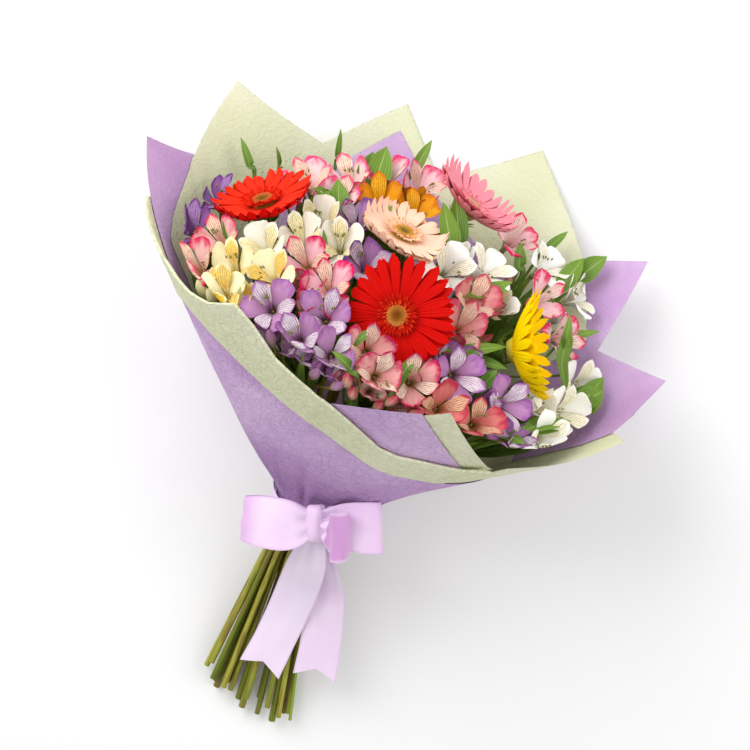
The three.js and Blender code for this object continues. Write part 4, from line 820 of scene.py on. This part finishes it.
def spread(now, radii, level):
    """Pushes the stems' points at one level apart and keeps them inside the bundle or the paper."""
    gap = radii[:, None] + radii[None, :] + STEM_GAP
    tight = BUNDLE_FOOT <= level <= BUNDLE_TOP
    centre = 0.0 if tight else float(funnel_centre(level))
    for _ in range(ROUNDS):
        for i in range(len(now)):
            for j in range(i):
                between = now[i] - now[j]
                apart = math.hypot(*between) + 1e-6
                push = 0.5 * (gap[i, j] - apart) / apart
                if push > 0:
                    now[i] = now[i] + between * push
                    now[j] = now[j] - between * push
        if tight:
            share = np.hypot(*now.T) / (BUNDLE_RADIUS - radii)
        elif level > 0:
            room = PAPER_GAP + radii
            turn = np.arctan2(now[:, 0] - centre, now[:, 1])
            share = np.hypot((now[:, 0] - centre) / (funnel_radius(SIDE_SLOPE, level) - room),
                             now[:, 1] / (funnel_radius(depth_slope(turn), level) - room))
        else:
            share = np.zeros(len(now))
            lowest = (radii - SUNK - TABLE_DEPTH - level * math.sin(AXIS_TILT)) / math.cos(AXIS_TILT)
            now[:, 1] = np.maximum(now[:, 1], lowest)
        over = share > 1
        now[over, 0] = centre + (now[over, 0] - centre) / share[over]
        now[over, 1] /= share[over]
    return now


FILLER = (128, 26)
heads = []
for bloom in blooms[:len(GERBERAS)]:
    top = unplace(bloom.centre - 44 * bloom.normal)
    heads.append((top, GERBERA_STEM, f"gerbera_{bloom.owner}_stem", bloom))
for name in ALSTROEMERIAS:
    heads.append((umbels[name] - (0, 0, 4), ALSTROEMERIA_STEM, f"alstroemeria_{name}_stem", name))
fork = np.array([FILLER[0] * 0.8, FILLER[1] * 0.8, dome(*FILLER) - 60])
heads.append((fork, FILLER_STEM, "yellow_filler_right", None))
tops = np.array([head[0] for head in heads])
radii = np.array([head[1] for head in heads])
LEVELS = [72, BUNDLE_TOP, BUNDLE_FOOT, -75, -224]
packed = []
for level in LEVELS:
    fan = ((level + APEX) / (tops[:, 2] + APEX))[:, None]
    if level > BUNDLE_FOOT:
        now = np.array([float(funnel_centre(level)), 0.0]) + (tops[:, :2] - (SHIFT, 0)) * fan
    elif level == BUNDLE_FOOT:
        now = packed[-1].copy()
    else:
        neck, below = packed[2], (BUNDLE_FOOT - level) / 200
        now = np.stack([-22 - 11 * below + (neck[:, 0] + 22) * (1 + 1.8 * below**1.2),
                        neck[:, 1] * (1 - 0.4 * below) + 42 * below**1.7], -1)
    packed.append(spread(now, radii, level))


CUT_LEVEL = -206


def stem_path(index):
    """The stem's knots from its head to its cut."""
    knots = [np.append(packed[k][index], level) for k, level in enumerate(LEVELS)]
    end_x = knots[3][0]
    cut = CUT_LEVEL + (max(0, end_x - 45) * 1.3) + 9 * draw(index, 5) + (16 if end_x < -12 else 0)
    share = (cut - LEVELS[3]) / (LEVELS[4] - LEVELS[3])
    knots[4] = knots[3] + (knots[4] - knots[3]) * share
    return [place(knot) for knot in [tops[index], *knots]]


BRACTS = 22
BRACT_PROFILES = (
    [(4.2, -16.8), (6.8, -15.2), (9.2, -13.2), (11.2, -11.6)],
    [(4.4, -16.5), (7.6, -14.2), (9.8, -11.6), (12.2, -9.6), (14.6, -8.6)],
)
BRACT_CUP = [(0.3, -18.5), (3.6, -18.2), (5, -16), (8.6, -12.5), (9.2, -10.6), (0.4, -10.2)]


def bracts(skin, bloom):
    """A green cup under a gerbera, with two rings of pointed scales."""
    rows = 7
    u, half = np.linspace(-1, 1, 5)[None, :], taper([1.0, 1.5, 1.3, 0.2], rows)
    for k in range(BRACTS):
        spine = flow(BRACT_PROFILES[k % 2], rows)
        middle = bloom.petal(2 * math.pi * k / BRACTS, spine[:, :1], spine[:, 1:] - 0.3 * u * u, u * half)
        skin.sheet(middle, 0.6, (u + 1) / 2, np.linspace(0, 0.6, rows)[:, None], 0.3)
    cup = [[bloom.petal(a, r, h, 0.0) for a in np.linspace(0, 2 * math.pi, 17)] for r, h in BRACT_CUP]
    skin.sheet(np.array(cup), 0.02, 0.4, 0.3, 0.3)


def stem(skin, knots, index):
    """A slightly uneven round stem with a short last ring, where the cut begins."""
    path = flow(knots, 8 * len(knots))
    end = path[-1] - path[-2]
    path = np.vstack([path[:-1], path[-1] - 0.02 * unit(end), path[-1]])
    ribs = radii[index] * (1 + 0.03 * np.sin(np.arange(len(path)) * 1.7 + index))
    skin.tube(path, ribs, 12, abs(draw(index, 44)), (1, 0, 0))


for index, (top, _, node, owner) in enumerate(heads[:-1]):
    skin = Skin()
    knots = stem_path(index)
    if isinstance(owner, Bloom):
        knots = [owner.centre - 13 * owner.normal, *knots]
        bracts(skin, owner)
    stem(skin, knots, index)
    if isinstance(owner, str):
        foot = place(top) + 0.3 * (knots[1] - place(top))
        for k, shape in enumerate(ALSTROEMERIAS[owner][2] + BROAD_LEAVES.get(owner, [])):
            leaf(skin, foot, *shape, index * 5 + k)
        gap_leaf(skin, foot, owner, index + 200)
        for kind, x, y, seed in extras[owner]:
            if kind == "leaf":
                width = 6.0 + 1.5 * draw(seed, 46)
                short_leaf(skin, foot, x, y, 5 + 4 * draw(seed, 45), width, seed + 300)
        ring_leaves(skin, foot, owner, index)
    skin.make(node.replace("_", " "), green_paint, "stems_and_leaves", node)


# Filler: one thin stem tied in with the others at the right. It forks to three round clusters of
# tiny yellow heads.
def filler_paint():
    """Yellow heads and green stalks. The first number of kind is 1 on the stalks."""
    paint = Paint("yellow filler", Roughness=0.6)
    cloud = paint.noise(400.0)
    head = paint.mix(paint.ramp(cloud, 0.4, 0.6), 0xFFE030, 0xE8B010)
    return paint.finish(paint.mix(paint.parts("kind")[0], head, 0x86A030), cloud, 0.6)


FILLER_BEADS = 26
skin = Skin()
stem(skin, stem_path(len(heads) - 1), len(heads) - 1)
fork = place(fork)
for x, y in [FILLER, (134, 2), (122, 8)]:
    ball = below_dome(x, y, 8)
    skin.tube(flow([fork, 0.5 * (fork + ball) - (0, 0, 4), ball], 8), 0.8, 6, 0.4, (1, 0, 0))
    for k in range(FILLER_BEADS):
        rise = 1 - 2 * (k + 0.5) / FILLER_BEADS
        ring = math.sqrt(1 - rise * rise)
        out = np.array([ring * math.cos(2.4 * k), ring * math.sin(2.4 * k), rise])
        bead = ball + 2.6 * out
        skin.tube([bead - 0.8 * out, bead, bead + 0.9 * out], [0.6, 1.0, 0.5], 6, 0.4)
skin.make("yellow filler", filler_paint(), "yellow_filler", heads[-1][2])


# Twine: eight turns of brown twine wound round the stems, which hold the bundle together before it
# is wrapped. They are hidden under the paper and the ribbon.
def twine_paint():
    """Brown plies that wind along the twine."""
    paint = Paint("twine", Roughness=0.9)
    across, along, _ = paint.parts("petal")
    ply = paint.math("SINE", along * 1800.0 + across * 12.0)
    return paint.finish(paint.mix(paint.ramp(ply, -1.0, 1.0), 0x8E7850, 0xC4AD7C), ply, 0.6)


TWINE_TURNS = 8
TWINE_REACH = 21.05
TWINE_RADIUS = 1.08
TWINE_LENGTH = 15.8
skin = Skin()
turns = np.linspace(0, 2 * math.pi * TWINE_TURNS, 48 * TWINE_TURNS + 1)
level = TWINE_LENGTH * (turns / turns[-1] - 0.5)
helix = np.stack([TWINE_REACH * np.sin(turns), TWINE_REACH * np.cos(turns), level], -1)
skin.tube(place(helix), TWINE_RADIUS)
skin.make("binding twine", twine_paint(), "twine", "binding_twine")


# Paper: embossed non-woven sheets laid over each other as one funnel, gathered at the tie. Edges run
# straight between the sheets' corners, given as (turn from the front in degrees, height).
PITCH = 1.6  # from one layer to the next
PAPER = 0.6
CAD_HALF = 0.475  # half the thickness of a sheet's solid
LILAC, GREEN = "lilac_paper", "pale_green_paper"
SHEETS = {  # slot, layer counted outwards, corners
    "paper_lilac_back": (LILAC, 0, [(157, 218), (184, 245), (195, 276), (206, 241), (223, 215)]),
    "paper_green_back": (GREEN, 1, [(148, 222), (169, 240), (184, 254), (195, 296), (211, 250), (239, 210)]),
    "paper_green_back_left": (GREEN, 2, [(187, 215), (211, 250), (231, 283), (248, 233), (276, 190)]),
    "paper_green_back_right": (GREEN, 2, [(130, 222), (148, 263), (169, 312), (185, 250)]),
    "paper_green_front_right": (GREEN, 2, [
        (6, 178), (15, 225), (19, 247), (28, 217), (46, 178), (70, 154), (101, 149)]),
    "paper_lilac_left": (LILAC, 3, [(211, 194), (248, 233), (264, 253), (276, 222), (300, 192)]),
    "paper_lilac_right": (LILAC, 3, [
        (84, 196), (88, 215), (107, 251), (126, 223), (139, 292), (148, 263), (169, 190)]),
    "paper_lilac_front_right": (LILAC, 3, [(-9, 171), (-2, 191), (6, 208), (15, 232), (28, 193), (40, 168)]),
    "paper_green_right": (GREEN, 4, [(50, 184), (79, 228), (88, 216), (101, 190), (126, 165)]),
    "paper_lilac_front": (LILAC, 5, [
        (-105, 200), (-92, 200), (-84, 212), (-76, 212), (-60, 206), (-50, 200), (-44, 202), (-35, 212),
        (-26, 236), (-17, 203), (-2, 180), (6, 166), (15, 151), (28, 156), (40, 160), (46, 129), (70, 135),
        (101, 141)]),
}


def creases(turn, z):
    """How far all sheets together stand out from the plain funnel: gathers above the tie, long soft
    folds and a slight wave of the rims."""
    a = np.radians(turn)
    gather = np.clip((z - 12.5) / 22, 0, 1) * np.exp(-(((z - 34) / 46) ** 2))
    pleats = 1.15 * (1 + np.sin(17 * a + 1.7 * np.sin(3 * a)))
    pleats = pleats + 0.8 * (1 + np.sin(29 * a + 1.1 * np.sin(5 * a)))
    high = np.clip((z - 60) / 190, 0, 1.3)
    folds = 1.5 * np.sin(5 * a + 1.3 + z / 85) + 1.0 * np.sin(9 * a - z / 60) + 0.7 * np.sin(14 * a + z / 45)
    sharp = 1.6 * np.maximum(0, 1 - np.abs(np.sin(3.5 * a + 0.6 + 0.25 * np.sin(z / 40))) / 0.11)
    return gather * pleats + high * (folds + 1.2) + sharp * np.clip(z / 120, 0, 1) * 0.7


def funnel_point(turn, z, inset):
    """A point of a sheet that lies so far inside the outer layer. Above the table the back sags a
    little, and close to the table the creases fade out."""
    a = np.radians(turn)
    wide, deep = funnel_radius(SIDE_SLOPE, z) - inset, funnel_radius(depth_slope(a), z) - inset
    across = (np.mod(turn, 360) - 195) / 14
    sag = 8.0 * np.exp(-across * across) * np.maximum(0, (z - 100) / 196)
    plain = np.stack([funnel_centre(z) + wide * np.sin(a), deep * np.cos(a) - sag, z], -1)
    clear = np.clip((place(plain)[..., 2] - 3) / 22, 0, 1) ** 1.5
    out = creases(turn, z) * clear
    return place(plain + out[..., None] * np.stack([np.sin(a), np.cos(a), np.zeros_like(out)], -1))


FLAT_SHARE = 0.6  # of a turn round the funnel, when the sheet is laid flat


def straight_edge(corners, turns):
    """Heights along an edge that is straight on the flat sheet from corner to corner."""
    heights = np.empty(len(turns))
    for (t0, z0), (t1, z1) in zip(corners, corners[1:]):
        on = (turns >= t0 - 1e-9) & (turns <= t1 + 1e-9)
        a, b = (np.radians(FLAT_SHARE * turn) for turn in (turns[on] - t0, t1 - turns[on]))
        whole = np.sin(np.radians(FLAT_SHARE * (t1 - t0)))
        heights[on] = whole / (np.sin(b) / (z0 + APEX) + np.sin(a) / (z1 + APEX)) - APEX
    return heights


def columns_of(corners, step=1.3):
    """Turns of the sheet's columns, with one at every corner."""
    turns = [np.linspace(t0, t1, max(2, math.ceil((t1 - t0) / step) + 1))[:-1]
             for (t0, _), (t1, _) in zip(corners, corners[1:])]
    return np.append(np.concatenate(turns), corners[-1][0])


def paper_paint(name, deep, plain, bright, inner_relief=0.25):
    """Paper with a pressed pattern of fine wavy lines, clear on the outer side; the lines are darkened in
    patches as painted shade.
    Its colour is painted deeper towards the tie as painted shade of the gathers. kind.z is 1 on the inner
    side."""
    paint = Paint(name, Specular_IOR_Level=0.2, Subsurface_Weight=0.06, Subsurface_Scale=0.5,
                  Subsurface_Radius=(0.003, 0.003, 0.003))
    _, height, _ = paint.parts("petal")
    side = paint.parts("kind")[2]
    spot = paint.add("ShaderNodeTexCoord", out=3)
    bent = paint.add("ShaderNodeVectorMath", {"operation": "MULTIPLY_ADD"},
                     {0: paint.noise(90.0, 2.0, spot, out=1), 1: (0.016, 0.016, 0.016), 2: spot})
    edges = {"feature": "DISTANCE_TO_EDGE"}
    coarse = paint.add("ShaderNodeTexVoronoi", edges, {"Scale": 115.0, "Vector": bent})
    fine = paint.add("ShaderNodeTexVoronoi", edges, {"Scale": 290.0, "Vector": bent})
    line, little = paint.ramp(coarse, 0.16, 0.015), paint.ramp(fine, 0.14, 0.02)
    fibre = paint.noise(900.0, 2.0, spot)
    relief = paint.ramp(side, 0.2, 0.02) * (1.0 - inner_relief) + inner_relief
    # patches where the pressed lines get painted shade
    groove_shade_patches = paint.ramp(paint.noise(70.0, 3.0, spot), 0.3, 0.6)
    body = paint.coats(
        paint.mix(paint.ramp(paint.noise(11.0, 2.0, spot), 0.35, 0.7), plain, bright),
        # painted shade: the paper is darker towards the gathered tie
        (paint.ramp(height, 0.42, 0.0) * 0.75, deep),
        # painted shade in the pressed lines, in patches
        ((line * 0.5 + little * 0.2) * groove_shade_patches * relief * 0.4, deep),
    )
    return paint.finish(body, (line * 0.8 + little * 0.35) * relief + fibre * 0.15, 0.8, 0.0009,
                        Roughness=paint.ramp(fibre, 0.2, 0.8) * 0.15 + 0.7)


GREEN_COLOURS = (0xC2C79A, 0xDADDB8, 0xE4E4C6)
paper_paints = {
    LILAC: paper_paint("lilac paper", 0x9874A6, 0xC49ECE, 0xDABCE2),
    GREEN: paper_paint("pale green paper", *GREEN_COLOURS),
}


def paper_skin(turns, rows):
    """A sheet from rows of (heights, insets), from the tie upwards."""
    skin = Skin()
    heights = np.array([row[0] for row in rows])
    insets = np.array([np.broadcast_to(row[1], len(turns)) for row in rows])
    grid = funnel_point(np.broadcast_to(turns, heights.shape), heights, insets)
    skin.sheet(grid, PAPER, turns[None, :] / 360, heights / 300)
    return skin


SHEET_FOOT = -14


def levels_to(top, rows):
    """Rows from the gathers up to the sheet's edge, closer together near the tie."""
    share = np.linspace(0, 1, rows)[:, None] ** 1.35
    return SHEET_FOOT + share * (top[None, :] - SHEET_FOOT)


for node, (slot, layer, corners) in SHEETS.items():
    turns = columns_of(corners)
    top = straight_edge(corners, turns)
    inset = (6 - layer) * PITCH + CAD_HALF
    skin = paper_skin(turns, [(row, inset) for row in levels_to(top, 46)])
    skin.make(node.replace("_", " "), paper_paints[slot], slot, node)

# The cuff: a green sheet inside the front that is folded out over the lilac one, so its inner side
# shows its relief.
CUFF_FOLD = [(-92, 210), (-84, 222), (-76, 222), (-60, 216), (-50, 210), (-44, 212), (-35, 222), (-31, 232),
             (-26, 246), (-22, 235), (-17, 213), (-10, 202), (-2, 190), (6, 176), (15, 161), (21, 160),
             (28, 165), (40, 170), (46, 178)]
CUFF_FREE = [(-92, 190), (-76, 182), (-44, 182), (-35, 178), (-26, 170), (-17, 162), (-9, 156), (-2, 150),
             (6, 141), (15, 132), (21, 128), (28, 127), (37, 130), (46, 134)]
turns = columns_of(CUFF_FOLD, 1.0)
fold = np.interp(turns, *zip(*CUFF_FOLD))
free = np.interp(turns, *zip(*CUFF_FREE))
inner, outer = 2 * PITCH + CAD_HALF, CAD_HALF
middle_inset, bend = (inner + outer) / 2, (inner - outer) / 2
rows = [(row, inner) for row in levels_to(fold - bend, 40)]
for angle in np.linspace(0, math.pi, 9)[1:-1]:
    rows.append((fold - bend + bend * math.sin(angle), middle_inset + bend * math.cos(angle)))
for share in np.linspace(0, 1, 20):
    rows.append(((fold - bend) * (1 - share) + free * share, outer - 0.5 * share))
cuff_paint = paper_paint("pale green cuff paper", *GREEN_COLOURS, inner_relief=1.0)
paper_skin(turns, rows).make("paper green cuff", cuff_paint, GREEN, "paper_green_cuff")


# Ribbon: one length of satin wound round the tie and knotted into a bow with three loops and two
# tails, 42 mm wide. It is gathered where it enters the knot.
KNOT, BOW_RIGHT, BOW_UP, BOW_OUT = (np.array(v) for v in (
    (11.5, 52.5, 27), (0.891, -0.247, 0.381), (-0.454, -0.485, 0.747), (0, 0.839, 0.545)))


def bow_point(point):
    right, up, out = np.moveaxis(np.asarray(point, float), -1, 0)[..., None]
    return place(KNOT + right * BOW_RIGHT + up * BOW_UP + out * BOW_OUT)


def bow_direction(direction):
    return bow_point(direction) - bow_point((0, 0, 0))


def satin_paint():
    """Satin with a fine weave and a hem along both edges. kind is (lit, painted shade in the bend, side)."""
    paint = Paint("satin ribbon", Roughness=0.32, Sheen_Weight=0.35, Anisotropic=0.6, Coat_Weight=0.05,
                  Specular_IOR_Level=0.55)
    across, along, _ = paint.parts("petal")
    lit, fold, _ = paint.parts("kind")
    weave = paint.math("SINE", along * 2600.0) * paint.math("SINE", across * 260.0)
    hem = paint.ramp(paint.math("ABSOLUTE", across - 0.5), 0.455, 0.475)
    body = paint.coats(
        0xE8CAEC,
        (paint.ramp(paint.noise(30.0), 0.3, 0.7), 0xF0D8F2),
        (lit * 0.85, 0xF0E0F4),
        # painted shade inside the loops' bends, on the small loop's inner side and on the knot
        (fold * 0.8, 0xC77FC6),
        (hem * 0.35, 0xD0A4D6),
    )
    return paint.finish(body, weave + hem * 2.0, 0.12, 0.0003)


RIBBON_WIDTH = 42
ribbon = Skin()


def strip(route, widths, across, lit, ripples, seed, slit=0.0):
    """A length of ribbon along a route, with soft lengthwise ripples where it is gathered. Gives
    back its area."""
    rows, columns = 8 * len(route), 15
    path = flow(route, rows)
    width = flow([(w,) for w in widths], rows)
    across = flow(np.broadcast_to(across, (len(route), 3)), rows)
    along = unit(np.gradient(path, axis=0))
    across = unit(across - (across * along).sum(-1, keepdims=True) * along)
    face = np.cross(along, across)
    u = np.linspace(-1, 1, columns)[None, :]
    v = np.linspace(0, 1, rows)[:, None]
    gather = np.clip((RIBBON_WIDTH - width) / 24, 0, 1)
    ripple = ripples * gather * np.sin(2.4 * math.pi * u + 1.5 * draw(seed, 51))
    wave = 0.5 * np.sin(9 * v + 3 * u + seed) * (1 - gather)
    cup = 1.3 * u * u * (0.5 + gather) * draw(seed, 52)
    lift = ripple + wave + cup
    middle = path[:, None] + (width / 2 * u)[..., None] * across[:, None] + lift[..., None] * face[:, None]
    last = np.clip((v - 0.88) / 0.12, 0, 1)
    middle = middle + (last * slit * (np.abs(u) - 0.35))[..., None] * along[:, None]
    ribbon.sheet(middle, 0.5, (u + 1) / 2, v, abs(draw(seed, 53)), (lit, 0, 0))
    steps = np.linalg.norm(np.diff(path, axis=0), axis=1)
    return float((steps * (width[1:, 0] + width[:-1, 0]) / 2).sum())


LOOPS = [  # route, direction across it, widths, how lit, how much painted shade inside the bend
    ([(-2, 0, 2), (-22, -2, 10), (-46, 1, 9), (-64, 4, 0), (-48, 3, -8), (-22, 0, -7), (-2, 0, -3)],
     (0.1, 1, 0), [20, 42, 44, 38, 40, 36, 20], 0.15, 0.6),
    ([(2, 0, 2), (22, -2, 9), (42, -4, 10), (57, -5, 3), (44, -4, -6), (22, -1, -5), (2, 0, -3)],
     (-0.06, 1, 0), [20, 38, 44, 44, 42, 36, 20], 0.1, 0.3),
    ([(4, -4, 6), (12, -9, 14), (14, -11, 26), (22, -11, 31), (29, -10, 24), (27, -7, 14), (10, -3, 4)],
     (0.05, 1, 0.3), [18, 36, 44, 44, 44, 36, 18], 0.2, 0.0),
]
TAILS = [  # route, widths, how lit
    ([(15.5, 57, 19), (21, 54, -16), (24, 42, -55), (26, 41, -90), (27, 47, -122), (27, 55, -147)],
     [18, 34, 38, 38, 38, 40], 0.9),
    ([(17.5, 55, 19), (32, 46, -16), (45, 34, -48), (57, 35, -80), (67, 41, -108), (74, 48, -132)],
     [18, 32, 38, 38, 38, 40], 0.5),
]
ribbon_area = 0.0
for seed, (route, across, widths, lit, pink) in enumerate(LOOPS):
    ribbon_area += strip([bow_point(p) for p in route], widths, bow_direction(across), lit, 2.2, seed + 1)
    along = ribbon.petal[-1][:, 1]
    ribbon.kind[-1][:, 1] = np.clip((0.16 - np.abs(along - 0.5)) / 0.1, 0, 1) * pink
# The small loop's inner side gets painted shade.
ribbon.kind[-1][:, 1] = ribbon.kind[-1][:, 2] * (along > 0.1) * (along < 0.9)
for seed, (route, widths, lit) in enumerate(TAILS):
    ribbon_area += strip([place(p) for p in route], widths, (1, 0, 0), lit, 2.0, seed + 7, slit=9.0)

# The band round the tie, and the knot with the short length that holds it to the band.
BAND_HALF = 12
turns, levels = np.linspace(0, 360, 145), np.linspace(-BAND_HALF, BAND_HALF, 13)
grid = funnel_point(*np.broadcast_arrays(turns, levels[:, None]), -1.8)
grid = grid + (0.45 * np.sin(levels * 1.1)[:, None, None]) * unit(grid - place((0, 0, 0)))
# The band, the knot and its short length carry a little painted highlight and painted shade.
ribbon.sheet(grid, 0.9, 0.5 + levels[:, None] / 60, (turns / 360)[None, :], 0.4, (0.1, 0.1, 0))
angles = np.linspace(0, 2 * math.pi, 33)
KNOT_RINGS = [(-16.5, 5.4), (-15, 7.4), (-9, 9.2), (-3, 9.7), (4, 9.8), (10, 8.8), (14, 7.4), (15.5, 5.2)]
barrel = []
for height, girth in KNOT_RINGS:
    folds = 0.07 * np.sin(5 * angles + height * 0.12) + 0.04 * np.sin(9 * angles - height * 0.2)
    barrel.append([bow_point((r * math.cos(a) * 1.02, height, r * math.sin(a) * 0.95))
                   for a, r in zip(angles, girth * (1 + folds))])
share = np.linspace(0.1, 0.9, len(barrel))[:, None]
ribbon.sheet(np.array(barrel), 0.6, share, (angles / 7)[None, :], 0.2, (0.1, 0.12, 0))
ribbon.tube(flow([bow_point((0, -2, 0)), place((10, 36.4, 4))], 6), 3.6, 10, 0.2, (0, 0.3, 0))
bow = ribbon.make("satin ribbon bow", satin_paint(), "satin_ribbon", "satin_ribbon_bow")


# Floor, light and camera: a pale table, one large soft lamp at the upper left, a weaker one at the
# right, and an even white surround. The camera looks down on the front of the bouquet.
FLOOR_REACH = 3.0
floor_mesh = bpy.data.meshes.new("floor")
floor_corners = [(x * FLOOR_REACH, y * FLOOR_REACH, 0) for x, y in ((-1, -1), (1, -1), (1, 1), (-1, 1))]
floor_mesh.from_pydata(floor_corners, [], [(0, 1, 2, 3)])
floor = bpy.data.objects.new("floor", floor_mesh)
bpy.context.collection.objects.link(floor)
floor_paint = Paint("pale floor", Roughness=0.9, Base_Color=(0.9, 0.9, 0.9, 1))
floor_mesh.materials.append(floor_paint.material)

world = bpy.data.worlds.new("surround")
bpy.context.scene.world = world
world.use_nodes = True
surround = world.node_tree.nodes["Background"].inputs
surround["Color"].default_value = (1, 1, 1, 1)
surround["Strength"].default_value = 0.66

EYE = turn_down((0, 0.8387, 0.5446))
IMAGE_AXIS = turn_down((0, -0.5446, 0.8387))
CENTRE = TIE / 1000 + np.array([-0.001, 0, 0]) + 0.131 * IMAGE_AXIS
ROLL = math.radians(27)
IMAGE_RIGHT = math.cos(ROLL) * np.array([1, 0, 0]) + math.sin(ROLL) * IMAGE_AXIS
IMAGE_UP = math.cos(ROLL) * IMAGE_AXIS - math.sin(ROLL) * np.array([1, 0, 0])
CAMERA_DISTANCE = 1.594


def aim(obj, position, right, up, back):
    rows = [(right[k], up[k], back[k], position[k]) for k in range(3)]
    obj.matrix_world = Matrix([*rows, (0, 0, 0, 1)])


def lamp(name, towards, distance, power, size):
    """A square soft lamp that faces the bouquet from a direction in the picture's own axes."""
    light = bpy.data.lights.new(name, "AREA")
    light.energy, light.size = power, size
    obj = bpy.data.objects.new(name, light)
    bpy.context.collection.objects.link(obj)
    back = unit(towards[0] * IMAGE_RIGHT + towards[1] * IMAGE_UP + towards[2] * EYE)
    right = unit(np.cross(IMAGE_UP, back))
    aim(obj, CENTRE + distance * back, right, np.cross(back, right), back)


lamp("key", (-0.65, 0.75, 1.0), 1.6, 19, 1.2)
lamp("fill", (0.9, -0.1, 0.8), 1.9, 12, 1.3)

camera_data = bpy.data.cameras.new("camera")
camera_data.lens, camera_data.sensor_width = 85, 36
camera = bpy.data.objects.new("camera", camera_data)
bpy.context.collection.objects.link(camera)
aim(camera, CENTRE + CAMERA_DISTANCE * EYE, IMAGE_RIGHT, IMAGE_UP, EYE)
bpy.context.scene.camera = camera
bpy.context.scene.view_settings.view_transform = "Standard"
